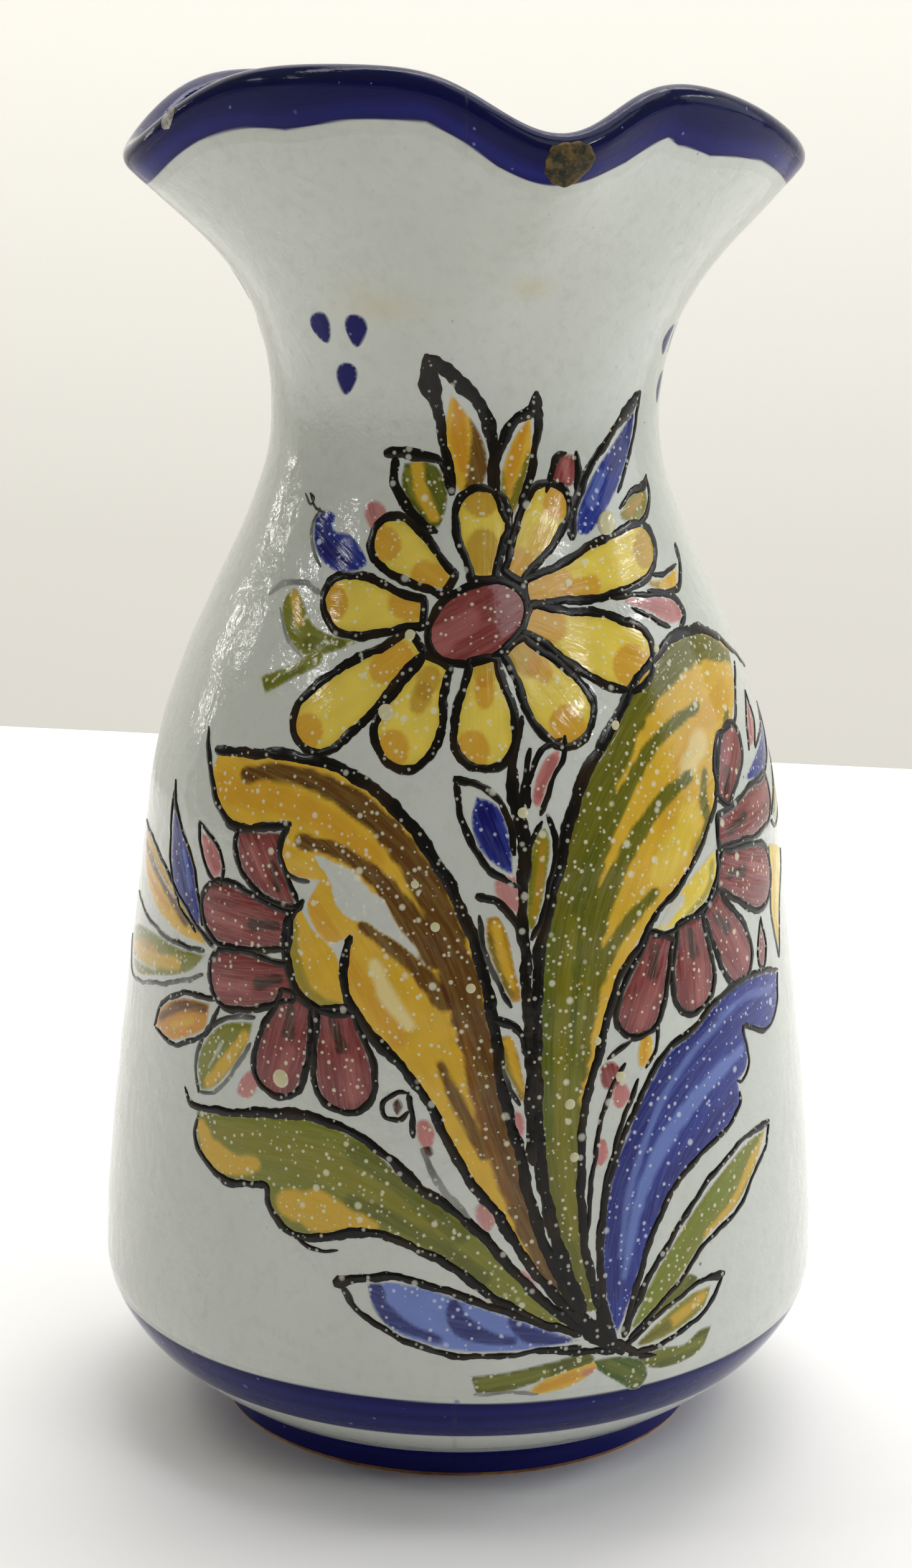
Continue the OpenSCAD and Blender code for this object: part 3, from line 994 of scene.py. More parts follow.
# %% Above the daisy
patch("tall_leaf_fill", "yellow_enamel",
    [(-2.3, 180, 1), (-3.4, 173), (-2.2, 166, 1), (0.5, 163.5), (3.5, 167), (2.6, 173)], YELLOW,
    [([(1.6, 176, 1.5), (2.4, 170, 3), (1.4, 164, 3.6)], BROWN, 0.9, 0.7),
        ([(-1, 178.5, 1.5), (-1, 173, 2.4), (-0.2, 168, 1.8)], ORANGE, 0.8, 0.7)], cover=0.95)
ink("tall_leaf_outline",
    [(-6.2, 186, 1.4), (-5.6, 181.5, 3.4), (-4.4, 177, 1.9), (-3.6, 173.3, 1.6), (-2.6, 168.4, 1.9),
        (-2.2, 164.5, 2.2)],
    [(-6, 185.6, 1.5), (-2.6, 183, 2.6), (1, 179.6, 2.2), (3.4, 175.6, 2.2), (4.6, 170.8, 2),
        (4.2, 166.5, 1.6)])
patch("short_leaf_fill", "yellow_enamel",
    [(10.6, 176.6, 1), (7.4, 172), (5.6, 166), (6.4, 162), (7.6, 160, 1), (9.2, 164), (10.6, 170)],
    YELLOW,
    [([(9.5, 174.5, 1.4), (7.8, 169, 1.7), (6.6, 164, 1.2)], ORANGE, 0.8, 0.7),
        ([(10.4, 170, 1), (8.8, 165, 1.7), (7.2, 161, 1.6)], GREEN, 0.85, 0.6),
        ([(5.6, 167.5, 1), (6.2, 163, 1.6)], LEAF_GREEN, 0.8, 0.6)])
ink("short_leaf_outline",
    [(11.4, 180, 1.1), (10.9, 177, 2.3), (8, 175.4, 1.8), (5.6, 171.5, 1.8), (4.6, 167, 1.9),
        (5.4, 162.6, 1.6), (7.2, 159.4, 1.2)],
    [(11.3, 179.4, 1.2), (11.8, 175.8, 1.5), (11.4, 171.4, 1.3), (10.4, 166.5, 1.5), (8.8, 162.4, 1.3)])
patch("bent_leaf_fill", "green_enamel",
    [(-9.8, 168.6, 1), (-10.2, 165), (-7.6, 161), (-4.6, 158.6), (-2.8, 162), (-3.4, 167), (-6, 169)],
    GREEN,
    [([(-7.6, 168.5, 2), (-7, 164.5, 2.2), (-4.8, 160.5, 1.8)], YELLOW, 0.9, 0.7),
        ([(-9.2, 167.4, 0.9), (-8.4, 163.6, 1)], LEAF_GREEN, 0.8, 0.5)])
ink("bent_leaf_outline", [(-13.2, 169.8, 2), (-10.5, 170.2, 2), (-6.8, 169.8, 1.9), (-3.4, 169, 1.4)],
    [(-11.2, 169.4, 1.5), (-11.3, 165.7, 1.7), (-9.2, 161.8, 1.8), (-6.2, 159.2, 1.6), (-4.2, 158.2, 1.1)],
    [(-4, 168.6, 1), (-2.6, 166.8, 1.3), (-2, 163.8, 1.6)])
patch("red_bud_fill", "maroon_enamel",
    [(14.2, 165.6), (15.4, 169.4), (18.2, 169.6), (18.8, 167), (17.8, 164.8)], MAROON,
    [([(16.6, 168.6, 1.2), (16.8, 166, 1.2)], PINK, 0.6, 0.8)])
ink("red_bud_outline", [(13.2, 164, 1.2), (15.2, 169.4, 1.3), (16.8, 170, 0.9)],
    [(18.6, 170.2, 1), (18.9, 167, 1.5), (18.6, 164, 1.3)])
patch("blue_spike_fill", "blue_enamel",
    [(32.4, 176, 1), (27.2, 171.5), (22.6, 167), (19.6, 162.6), (18.4, 158), (20.4, 157.2), (25.6, 161.8),
        (29.4, 167), (31.6, 172)], ROYAL,
    [([(31.5, 174, 2), (28.4, 170, 3.4), (26, 167, 2)], NAVY, 0.85, 1.2),
        ([(23.4, 166, 2), (21.6, 162.4, 2.2)], SKY, 0.5, 1.2)])
ink("blue_spike_outline",
    [(33.8, 178.6, 1.2), (31.6, 177, 2.6), (26.9, 173, 1.5), (22, 168.3, 1.6), (19.2, 164, 1.9),
        (17.9, 160.6, 1.9), (17.8, 156.6, 1.6)],
    [(33.8, 178.4, 1), (32.9, 174, 0.9), (29.9, 167, 0.9), (27.4, 163, 1)])
patch("mustard_leaf_fill", "yellow_enamel",
    [(35.4, 163.2, 1), (30, 162), (27.6, 159.4), (31.6, 158), (35.4, 160.6)], OLIVE,
    [([(33.6, 161.8, 1.2), (30, 160, 1.6)], OCHRE, 0.8, 0.8)])
ink("mustard_leaf_outline", [(36, 165, 0.9), (35.2, 163.6, 1.8), (30.6, 162.6, 1), (27.6, 160.6, 1.1)],
    [(35.9, 164.6, 0.8), (36.6, 161.6, 1.1), (33.6, 158.4, 1.1), (29.4, 157.4, 1.2)])
patch("yellow_curl_fill", "yellow_enamel",
    [(42.6, 150.4, 1), (38, 149.2), (32.8, 149.2), (36, 147.6), (41.4, 147.6)], YELLOW,
    [([(36, 148.4, 1), (32.8, 148.8, 1.2)], GREEN, 0.6, 0.8)])
ink("yellow_curl_line",
    [(43.6, 153.6, 1.6), (44.4, 150.6, 1.5), (42.4, 147.6, 1.2), (38.6, 147, 0.9), (33, 147.8, 0.9)],
    [(42.6, 150.6, 0.8), (38.6, 149.8, 0.8), (34.6, 150, 0.9)])
patch("pink_petal_fill", "maroon_enamel",
    [(26, 147.2, 1), (34, 147), (41, 145), (41.6, 142.8), (38, 142.4), (33, 144.6)], PINK,
    [([(31, 146.4, 1.5), (38, 144.4, 1.5)], MAROON, 0.35, 1.2)], cover=0.85)
ink("pink_petal_line",
    [(25, 147.6, 0.9), (34.5, 147.2, 0.9), (40.6, 145.8, 1.3), (42.6, 143.2, 1.4), (40.6, 141.4, 1)],
    [(29, 145.8, 0.6), (34.4, 143.4, 0.9), (38, 141.9, 0.8)])
print("upper right buds and leaves are on")

# %% Left of the daisy
patch("pink_bud_left", "maroon_enamel",
    [(-16.6, 161.4), (-14.9, 162.7), (-13, 161.9), (-12.4, 159.9), (-14.1, 157.5), (-15.9, 158.8)], PINK,
    [([(-15.2, 161.6, 1.4), (-14.2, 159, 1.2)], MAROON, 0.4, 0.8)], cover=0.8)
patch("blue_bud_left", "blue_enamel",
    [(-26, 159), (-23.8, 160.4), (-21.8, 159.6), (-22, 157.6), (-19.2, 157.2), (-17, 155.4),
        (-15.8, 152.9), (-20.2, 151.3), (-23.8, 152.4), (-26, 155)], ROYAL,
    [([(-24.4, 159, 2.6), (-23.6, 155.4, 3.2), (-20, 153.6, 3)], NAVY, 0.9, 1)])
ink("blue_bud_curl",
    ([(-25.2, 160.6, 0.7), (-26.6, 157.8, 0.7), (-26.4, 154.4, 0.8), (-24.4, 151.8, 0.7)], 0.65),
    ([(-28.9, 162.4, 0.45), (-27.4, 160.9, 0.5), (-26.6, 162, 0.45), (-27.8, 162.6, 0.4),
            (-26, 160.4, 0.5), (-24.4, 160, 0.6)], 0.8))
patch("green_curl_left", "green_enamel",
    [(-32, 145.6), (-29.6, 148.2), (-27.4, 146.4), (-25.6, 143.6), (-22.2, 142.2), (-16.6, 141.8),
        (-22.1, 139.4), (-27.1, 138.8), (-30.8, 141.6)], LEAF_GREEN,
    [([(-29.4, 147, 2), (-28.2, 143.6, 1.8)], YELLOW, 0.85, 0.9),
        ([(-26, 140.6, 2), (-20, 141, 1.6)], GREEN, 0.7, 0.9)])
ink("grey_arc_left",
    ([(-35.7, 146.5, 0.8), (-32.2, 148.6, 1.1), (-28, 149.2, 0.9), (-24.2, 148, 1.2)], 0.5),
    ([(-32.6, 145, 0.6), (-30.6, 141, 0.7), (-27.2, 138.4, 0.8)], 0.5))
patch("green_dash_left", "green_enamel",
    [(-35.8, 134.6, 1), (-30, 136.8), (-23.6, 139.8), (-23.2, 138.2), (-29, 134.8), (-34.4, 132, 1)],
    LEAF_GREEN, [([(-34.4, 133.4, 1.6), (-27, 136.6, 1.2)], GREEN, 0.5, 0.9)])


# %% Blue dots on the neck
def neck_dot(name, round_by, s, z, tilt):
    """One dab of cobalt, narrower below, in a group that sits round_by degrees from the front group."""
    a = np.linspace(0, 2 * math.pi, 40, endpoint=False)
    shape = np.stack([2.0 * np.cos(a) * (1 + 0.25 * np.sin(a)), 2.7 * np.sin(a)], 1)
    shape = shape * (1 + 0.04 * np.sin(3 * a + s))[:, None]
    c, d = math.cos(tilt), math.sin(tilt)
    places = shape @ np.array([[c, d], [-d, c]]) + [s, z]
    here = np.degrees(s / radius_at(np.zeros(1), np.array([z]))[0]) + round_by
    places[:, 0] += np.radians(round_by) * radius_at(np.full(len(places), here), places[:, 1])
    patch(name, "cobalt_glaze", places, NAVY, [], lift=0.07, soft_edge=0.45)


DOTS = [(-24.6, 189.4, 0.5), (-17.9, 189.3, 0.1), (-20, 181.4, -0.2)]
BETWEEN_GROUPS = 56.0
for group, step in enumerate((0, 2, 3, -1, -2)):
    for number, (s, z, tilt) in enumerate(DOTS):
        rise = {2: -3.0, -1: 5.0}.get(step, 0.0)
        neck_dot(f"neck_dot_{group + 1}_{number + 1}", step * BETWEEN_GROUPS, s, z + rise, tilt)
print("neck dots:", 5 * len(DOTS))


# %% [markdown]
# ## The great leaves
# Six leaves rise from one point at the foot. Each has a base colour and then long strokes of brown,
# green or blue along its length, which run together towards the stem. The strokes are soft masks on the
# fill's own points, so the colours melt into each other as they do in the kiln.

# %% Left leaf, yellow and brown
LEFT_TOP = [(-48.4, 125), (-44.5, 122), (-37.5, 122.6), (-30.5, 123.4), (-19.5, 122.5), (-10.5, 117),
    (-3.5, 108), (2, 96), (4.9, 84), (6.6, 73), (9.2, 64), (11, 55.5), (14, 47), (20, 35.2)]
LEFT_LOW = [(15, 41), (10.5, 47.5), (6.5, 54), (0.5, 62), (-5, 72), (-11, 79.5), (-15.8, 84.4),
    (-18, 88.2), (-18.5, 92.5), (-17.2, 97.3, 1), (-21, 95.6), (-23.6, 97.6), (-25, 101.1),
    (-23, 105.2, 1), (-28, 105.4), (-30, 108), (-28.2, 113.4, 1), (-33, 112.4), (-40.5, 111.6),
    (-44, 114), (-46, 118.4)]
edge = outline_of([LEFT_TOP[1] + (1,)] + LEFT_TOP[2:-1] + [LEFT_TOP[-1] + (1,)] + LEFT_LOW)
patch("left_leaf_fill", "yellow_enamel", edge, YELLOW,
    [([(-42, 117, 5), (-33, 117, 5), (-24, 115.5, 4), (-14, 110, 4)], ORANGE, 0.45, 2.5),
        ([(-27, 104.8, 3), (-22.4, 99, 3), (-17, 92, 3), (-10, 82, 3)], ORANGE, 0.5, 2),
        ([(-13.5, 93, 2), (-11.5, 88.5, 2.6), (-8, 84, 2)], PALE, 0.7, 1.6),
        ([(-23.4, 108.9, 0.8), (-19.4, 106.3, 3.8), (-16.8, 102.9, 6.2), (-12.6, 100.6, 5),
                (-8.6, 97, 3.2), (-5.2, 93.4, 1)], None, 0.98, 0.5),
        ([(-37.5, 119.5, 2.5), (-31.5, 121, 2.3), (-25, 120.7, 3), (-18, 118.4, 3.8), (-12, 114.4, 4.2),
                (-7, 108.4, 4.6), (-3.5, 102, 5), (-1.4, 95.5, 5.4), (0.8, 88, 5.8), (2.7, 80.5, 5.2),
                (4.4, 73, 5), (6.2, 66, 4.8), (8.8, 58, 4.2), (11.5, 50.5, 3.6), (16, 42, 3)], BROWN,
            0.95, 0.9),
        ([(-26, 111, 2.5), (-20.5, 110.5, 2.2), (-16, 108.5, 2.7), (-12, 105.5, 3.2), (-8, 100.5, 4),
                (-4, 95, 4)], BROWN, 0.95, 0.8),
        ([(-15.5, 99, 1.7), (-11.5, 96.5, 2.2), (-7.5, 93.5, 2.7), (-2.5, 88, 3.4)], BROWN, 0.93, 0.8),
        ([(-3, 78, 1.2), (-1.5, 74.5, 1.8), (0.5, 70.5, 2.2), (4, 64, 2.2)], BROWN, 0.9, 0.8),
        ([(0.5, 84, 1.2), (3.2, 70, 1.6), (8, 56, 1.4)], tone(136, 84, 18), 0.6, 1.2),
        ([(-32, 119.6, 0.8), (-24, 119.4, 0.8), (-14, 114.6, 0.8)], DARK_BROWN, 0.5, 1)],
    [(-44, 119), (-20, 113), (-6, 98), (1, 80), (8, 60), (18, 38)])
ink("left_leaf_outline",
    [(-48.2, 125.2, 0.7), (-47.6, 122, 1.4), (-46.4, 118.4, 1.7), (-43.8, 114, 1.7), (-40.5, 111.5, 1.9),
        (-33, 112.3, 1.6), (-28, 113.5, 1.7)],
    [(-45.6, 122.1, 1.7), (-37.5, 122.8, 1.7), (-30.5, 123.6, 2), (-19.5, 122.7, 2.1),
        (-10.3, 117.2, 2.3), (-3.2, 108.2, 2.2), (2.3, 96.2, 2), (5.2, 84.2, 2.1), (6.9, 73, 2),
        (9.4, 64.2, 2), (11.3, 55.7, 2), (14.3, 47.2, 2), (20.3, 35.4, 1.8)],
    [(-17.4, 97.4, 1.4), (-18.6, 92.6, 1.7), (-18, 88, 1.8), (-15.9, 84.2, 2.2), (-11.1, 79.4, 2.1),
        (-7.9, 76.1, 1.6), (-4.9, 72, 1.7), (0.3, 62, 1.7), (4.1, 56.5, 1.7), (6.4, 53.8, 2),
        (10.2, 47.3, 1.6), (15.2, 40.8, 1.8), (19.5, 36, 1.6)],
    ([(-28.6, 113.4, 1.5), (-30.4, 108.4, 1), (-28.4, 105.4, 0.9), (-24.6, 104.9, 1.1)], 0.8))
print("left leaf is painted")

# %% Right leaf, green on yellow
edge = outline_of([(59.5, 135.8, 1), (50, 139.4), (44, 140.3), (38, 139.8), (33.4, 137.5), (28.9, 134.2),
        (25.6, 129.4), (20.8, 123), (16.8, 112.6), (13.8, 101.2), (12.6, 93.5), (12.3, 80), (12.9, 64.8),
        (14.6, 53), (20.4, 37, 1), (23, 37, 1), (20.4, 46.5), (19.6, 54.7), (19.6, 64.3), (20.6, 71.5),
        (24.2, 85), (27.5, 92.5), (33.2, 99.5), (37.8, 103), (41.8, 106.4), (45, 110.3, 1), (47.2, 115.9),
        (46.8, 121.4), (48.5, 124.6, 1), (53.5, 125.4), (57.2, 129.4)])
patch("right_leaf_fill", "green_enamel", edge, YELLOW,
    [([(52, 130, 5), (44, 127, 4), (38, 121, 3), (34, 113, 3)], ORANGE, 0.35, 2.6),
        ([(43, 124, 4.5), (40, 121, 3.5)], PALE, 0.55, 2.4),
        ([(40.5, 113, 5), (34, 105.5, 5)], LEMON, 0.6, 2.6),
        ([(58.5, 134.6, 1.8), (45, 138, 4.6), (36, 136, 5.4), (29.4, 131.6, 6), (24, 124.2, 6.6),
                (20.5, 117, 6.6), (17.5, 107, 6.8), (15.7, 97, 7.6), (15, 85.5, 8), (15.4, 70.5, 8.2),
                (16.5, 58.5, 8), (19, 46.5, 6.6), (22, 37.5, 4.4)], GREEN, 0.94, 0.9),
        ([(43, 129.5, 1.8), (37.5, 128, 2.1), (32, 125, 2.5), (28.5, 121, 2.6), (25, 116, 2.8),
                (21.5, 109, 3.6), (19, 99.5, 3.6)], GREEN, 0.94, 0.7),
        ([(40, 119.5, 2.1), (34.5, 117, 2.7), (29.5, 112.5, 3), (25.5, 107, 3), (22.5, 100.5, 3.6),
                (19.5, 92, 4)], GREEN, 0.94, 0.7),
        ([(32.5, 102.5, 1.8), (28.5, 99.5, 2.3), (24.5, 95, 2.7), (20.5, 88, 4), (18.5, 76, 4)], GREEN,
            0.92, 0.7), ([(52.5, 127, 1.5), (50, 123, 2.1), (50, 118.5, 1.8)], GREEN, 0.85, 0.7),
        ([(44, 119.5, 1.5), (43.5, 115.5, 2), (44.5, 112, 1.8), (41.5, 107.5, 1.8)], GREEN, 0.88, 0.7),
        ([(17.6, 100, 1.6), (16.2, 84, 2.2), (16.4, 66, 2.6), (18.5, 50, 1.8)], OLIVE, 0.55, 1.6),
        ([(14.2, 100, 1.6), (13.6, 84, 1.8), (14.2, 66, 1.8)], tone(66, 92, 24), 0.5, 1.2),
        ([(20.5, 92, 1), (18.6, 80, 1.2), (18.4, 66, 1)], LEAF_GREEN, 0.6, 1)],
    [(56, 134), (38, 131), (27, 120), (19, 104), (16, 85), (16.5, 62), (21, 40)])
ink("right_leaf_outline",
    [(72, 130.8, 0.8), (66, 133.2, 0.8), (59, 136.2, 1.2), (50, 139.7, 1.5), (44.1, 140.7, 1.8),
        (38.1, 140.2, 1.9), (33.4, 137.9, 1.9), (28.7, 134.6, 2), (25.2, 129.6, 2.1), (20.4, 123.2, 2.3),
        (17.8, 117.5, 2.3), (15, 106.3, 2.1), (12.6, 96, 2.1), (12.1, 85.8, 2.1), (12.2, 74.2, 2.2),
        (12.7, 64.8, 2.2), (13.8, 56.8, 2.3), (16, 48.6, 2.3), (20.4, 37, 2.2)],
    [(61, 133.4, 0.8), (57.4, 129, 1), (55.8, 125.8, 1), (52, 124.6, 1), (48.8, 124.6, 1.1),
        (47, 121.4, 1.2), (47.4, 115.9, 1.4), (45.4, 112, 1.3), (41.5, 106.8, 1.4), (38.2, 103, 1.5),
        (33.4, 99.6, 1.4), (29.4, 94.2, 1.5), (25.8, 89.9, 1.6), (24.2, 85, 1.7), (21.8, 76.5, 1.7),
        (20, 70.4, 1.7), (19.6, 64.3, 1.6), (19.7, 54.7, 1.7), (20.6, 46.5, 1.7), (22.9, 37.4, 1.6)])
print("right leaf is painted")

# %% Blue leaf on the right
edge = outline_of([(68, 82.5, 1), (59, 84.1), (52.5, 84.1), (45.9, 82), (40.9, 79), (34.8, 76.2),
        (31, 71), (28.4, 66.4), (25.9, 61.2), (23.9, 53), (23.6, 42.5), (26, 31.8, 1), (29.9, 41.6),
        (32.4, 48.4), (35.5, 53.6), (39.4, 57.4), (44.8, 60.2), (50.2, 62.7), (52.4, 65.2), (52, 68.6, 1),
        (54.6, 70.2), (54.8, 73.4), (53.8, 76.8, 1), (57.6, 76), (62.1, 74.6), (66.4, 77)])
patch("blue_leaf_fill", "blue_enamel", edge, ROYAL,
    [([(47, 80, 3), (37, 75, 3.4), (30, 66, 3.4), (26.4, 54, 3.4), (25.8, 40, 3)], NAVY, 0.6, 2),
        ([(58, 79, 2.5), (49, 77.5, 2.5), (42, 73.5, 3), (36, 67, 3)], NAVY, 0.35, 2),
        ([(50, 66, 3), (44, 62.5, 3), (37, 57.5, 3), (32, 51, 2.4)], NAVY, 0.55, 1.8),
        ([(51, 81, 0.8), (41.5, 76.5, 1.3), (35, 70.5, 1.3), (31, 63.5, 1.3), (28, 55, 1.3),
                (26.5, 45.5, 0.8)], SKY, 0.6, 1),
        ([(53, 73.5, 1.6), (46.5, 71.2, 2.6), (39.5, 67, 3), (33.5, 61, 2.8), (29.5, 52.5, 2),
                (27.3, 42, 1)], SKY, 0.78, 1.4),
        ([(64, 80.5, 1.6), (55, 81.6, 1.2), (47, 80.2, 0.8)], SKY, 0.5, 1)],
    [(66, 80), (50, 77), (38, 70), (30, 60), (26, 46), (26, 33)])
ink("blue_leaf_outline",
    [(68.4, 82.6, 0.9), (59, 84.5, 1.1), (52.5, 84.5, 1.4), (45.7, 82.4, 1.4), (40.6, 79.4, 1.4),
        (34.4, 76.6, 1.3), (30.6, 71.2, 1.3), (27.9, 66.6, 1.2), (25.5, 61.3, 1.3), (23.5, 53, 1.4),
        (23.2, 42.5, 1.5), (24.8, 32.8, 1.6)],
    [(68.2, 82.2, 0.8), (67, 77.4, 0.8), (62.2, 74.4, 0.9), (57.6, 75.8, 1), (54, 76.9, 1.1),
        (54.6, 73.8, 0.8), (55.4, 70.4, 0.7), (53.2, 68.2, 0.7), (51.8, 68.7, 0.7)],
    [(52.4, 66.8, 0.9), (52.6, 65, 0.9), (50.3, 62.6, 1.1), (44.8, 60, 1.2), (39.5, 57.2, 1.3),
        (35.7, 53.4, 1.3), (32.6, 48.2, 1.3), (30.1, 41.5, 1.3), (27.4, 31.8, 1.4)])
print("blue leaf is painted")

# %% Lower left leaf, green and yellow
edge = outline_of([(-47.4, 64.4, 1), (-45, 64.6), (-37.4, 65.8), (-29.6, 67.1), (-24.2, 67.4),
        (-19, 66.4), (-14.8, 64.8), (-7.8, 59), (-0.3, 54), (7, 46.4), (15.1, 37.6), (20, 33.6, 1),
        (15.1, 34.8), (7, 40.2), (2.3, 43.6), (-2.5, 47), (-5.5, 48.2), (-10.2, 50.4), (-14.1, 50.8),
        (-18, 50.4), (-22.3, 49.1), (-26.5, 48.8), (-29.5, 50.3), (-31.4, 52.5), (-32.2, 55.4, 1),
        (-36, 55.4), (-39.8, 54.9), (-43.3, 56), (-46.3, 57.8), (-47.4, 60.4)])
patch("low_leaf_fill", "green_enamel", edge, LEAF_GREEN,
    [([(-46, 62, 2.4), (-43.6, 58.6, 4.4), (-38, 57.6, 3.6), (-34.4, 58.6, 2.4)], YELLOW, 0.92, 1.2),
        ([(-28, 53.4, 4.4), (-23, 53, 6.4), (-18.4, 52.6, 4.4), (-13.4, 51.8, 1.8)], YELLOW, 0.92, 1.2),
        ([(-41.5, 62, 2.6), (-31, 62.2, 4.6), (-22, 60.8, 5.2), (-12.5, 56.6, 4.2), (-4, 51, 3.4)], OLIVE,
            0.75, 1.8),
        ([(-16.5, 63.2, 3), (-11.5, 60.4, 3.4), (-5.5, 55.6, 3), (0, 51, 3)], GREEN, 0.75, 1.4),
        ([(-17, 55.3, 2.6), (-11.5, 53.5, 2.6), (-3.5, 49.4, 2.6), (4, 44, 2.4)], GREEN, 0.75, 1.2),
        ([(-38, 64.4, 1.4), (-27, 65.6, 1.4)], LEAF_GREEN, 0.7, 1)],
    [(-46, 60), (-30, 60), (-16, 58), (-4, 51), (8, 42), (19, 34)])
ink("low_leaf_outline",
    [(-50.7, 67.3, 0.7), (-49.2, 65.2, 1.1), (-45, 65.1, 1.3), (-37.4, 66.2, 1.5), (-29.6, 67.6, 2),
        (-24.2, 67.9, 1.8), (-19, 67, 1.5), (-14.8, 65.2, 1.5), (-11, 62.8, 1.5), (-7.8, 59.6, 2.2),
        (-5, 57.5, 1.9), (-0.3, 54.4, 1.7), (2.9, 51.6, 1.8), (7, 46.9, 1.8), (11.8, 41.4, 1.8),
        (16.1, 37.4, 1.8), (20.6, 33.6, 1.6)],
    [(-46.9, 63.6, 0.8), (-47.8, 60.2, 1.1), (-46.4, 57.5, 1.2), (-43.3, 55.6, 1.4), (-39.8, 54.5, 1.6),
        (-35.5, 55, 1.2), (-32.2, 55.6, 1.3), (-31.6, 52.2, 1.3), (-29.6, 50, 1.4), (-26.5, 48.5, 1.4),
        (-22.3, 48.7, 1.5), (-18, 50.1, 1.8), (-14.1, 50.5, 1.7), (-10.2, 50.1, 1.5), (-5.5, 47.9, 1.6),
        (-2.5, 46.8, 1.6), (2.3, 43.2, 1.7), (7, 39.8, 1.6), (11.2, 37.4, 1.5), (16, 34.6, 1.5)],
    [(-26.6, 48.2, 0.7), (-24.4, 47, 0.8), (-21.6, 46.6, 0.7), (-19.3, 47.1, 0.5)])
print("low leaf is painted")

# %% Blue leaf at the bottom left
edge = outline_of([(-14.6, 42.2, 1), (-10.7, 42.8), (-4.6, 42), (0.7, 40.2), (6.3, 38.2), (13, 35.6),
        (20, 32.4, 1), (12, 31.8), (6.4, 31.6), (-0.5, 31.9), (-5.3, 33), (-10.5, 35), (-13.4, 38)])
patch("low_blue_leaf_fill", "blue_enamel", edge, SKY,
    [([(-13.2, 41.6, 2.6), (-12.4, 38.6, 3), (-8.4, 35.6, 2.2), (-3, 33.8, 1.2)], NAVY, 0.9, 0.9),
        ([(-0.6, 39.6, 2), (0, 36.8, 3.4), (4.4, 34.2, 2.4), (8.6, 33.4, 1.4)], NAVY, 0.9, 0.8),
        ([(8.6, 36.8, 1.4), (10.4, 34.8, 2.6), (15, 33.2, 1.8), (19, 32.8, 1)], NAVY, 0.9, 0.8)],
    [(-14, 40), (0, 36), (18, 33)], cover=0.92)
ink("low_blue_leaf_outline",
    [(-20.1, 41.5, 2.2), (-16.5, 42.7, 1.5), (-10.7, 43.7, 1.4), (-4.6, 42.6, 1.3), (0.7, 40.9, 1.4),
        (6.3, 38.8, 1.4), (13, 36.2, 1.5), (20, 33.4, 1.5)],
    ([(-18.6, 41.2, 1.3), (-15.8, 37.5, 1.1), (-10.7, 34.4, 1.1), (-5.3, 32.2, 1.1), (-0.5, 31.1, 1.1),
            (6.4, 30.9, 1), (13, 31.4, 0.9), (20, 31.4, 1.2)], 0.9))

# %% Thin green leaf and the leaves at the foot
edge = outline_of([(60.6, 58.6, 1), (54, 57.8), (46.2, 54), (41.2, 50.4), (37, 46), (32.2, 40),
        (28, 32.2, 1), (33, 35.4), (39, 40.6), (43.7, 45), (51.3, 48.4), (56.6, 53.2)])
patch("thin_leaf_fill", "green_enamel", edge, LEAF_GREEN,
    [([(60, 57.6, 1.6), (56, 54.6, 2), (50, 49, 1.6), (44, 45.6, 1.4)], YELLOW, 0.85, 1.2),
        ([(52, 55, 2.2), (44, 50, 2.4), (37, 43.5, 2.2), (30, 35, 2)], tone(112, 130, 30), 0.6, 1.6),
        ([(58.6, 54.6, 0.6), (53, 49.4, 0.9), (47, 46, 0.6)], None, 0.8, 0.6)],
    [(60, 58), (45, 50), (34, 40), (28, 32)])
ink("thin_leaf_outline",
    [(61.8, 59.4, 1.6), (54.1, 58.9, 1), (45.8, 55.2, 1.2), (41, 51.6, 1.2), (37, 47.3, 1.2),
        (32.4, 41.6, 1.3), (27.2, 32.6, 1.4)],
    [(61.7, 59, 1), (60.7, 56, 0.9), (56.9, 52.6, 0.9), (51.3, 47.4, 1), (43.7, 44.2, 1), (39, 39.8, 1),
        (33.5, 35.6, 1), (28.4, 31.4, 1.2)])
patch("foot_green_behind", "green_enamel",
    [(31.5, 33.5), (35.4, 38), (39.6, 40), (42, 38.6), (37.5, 35.4)], GREEN,
    [([(33, 36, 1.6), (39, 39, 1.6)], LEAF_GREEN, 0.5, 1)])
patch("foot_yellow_leaf", "yellow_enamel",
    [(45, 36.8, 1), (40.4, 36.4), (35.6, 34.2), (29.8, 30), (33.6, 30), (38.8, 31.4), (43.4, 33.6)],
    OLIVE,
    [([(43, 35.4, 1.6), (37, 32.8, 2)], YELLOW, 0.8, 1),
        ([(36, 32.4, 1.4), (30.6, 30.4, 1.4)], GREEN, 0.7, 0.8)])
ink("foot_yellow_leaf_outline",
    [(48.2, 37.9, 1.7), (42.3, 37.9, 1), (35.8, 35.5, 1), (31, 32.6, 1), (27.4, 30, 1.2)],
    [(47.6, 37.4, 1), (44.8, 33.6, 1), (40, 31, 1), (35, 29.4, 1), (28.4, 28.6, 1.1)])
patch("foot_green_right", "green_enamel",
    [(29.5, 27.8, 1), (35, 28.6), (39.4, 28.2), (42.6, 29.8), (45.4, 29.8, 1), (43, 26.2), (37.6, 24.8),
        (32.6, 25.4)], GREEN, [([(32, 27.4, 1.6), (43, 27.6, 1.6)], LEAF_GREEN, 0.75, 1.2)])
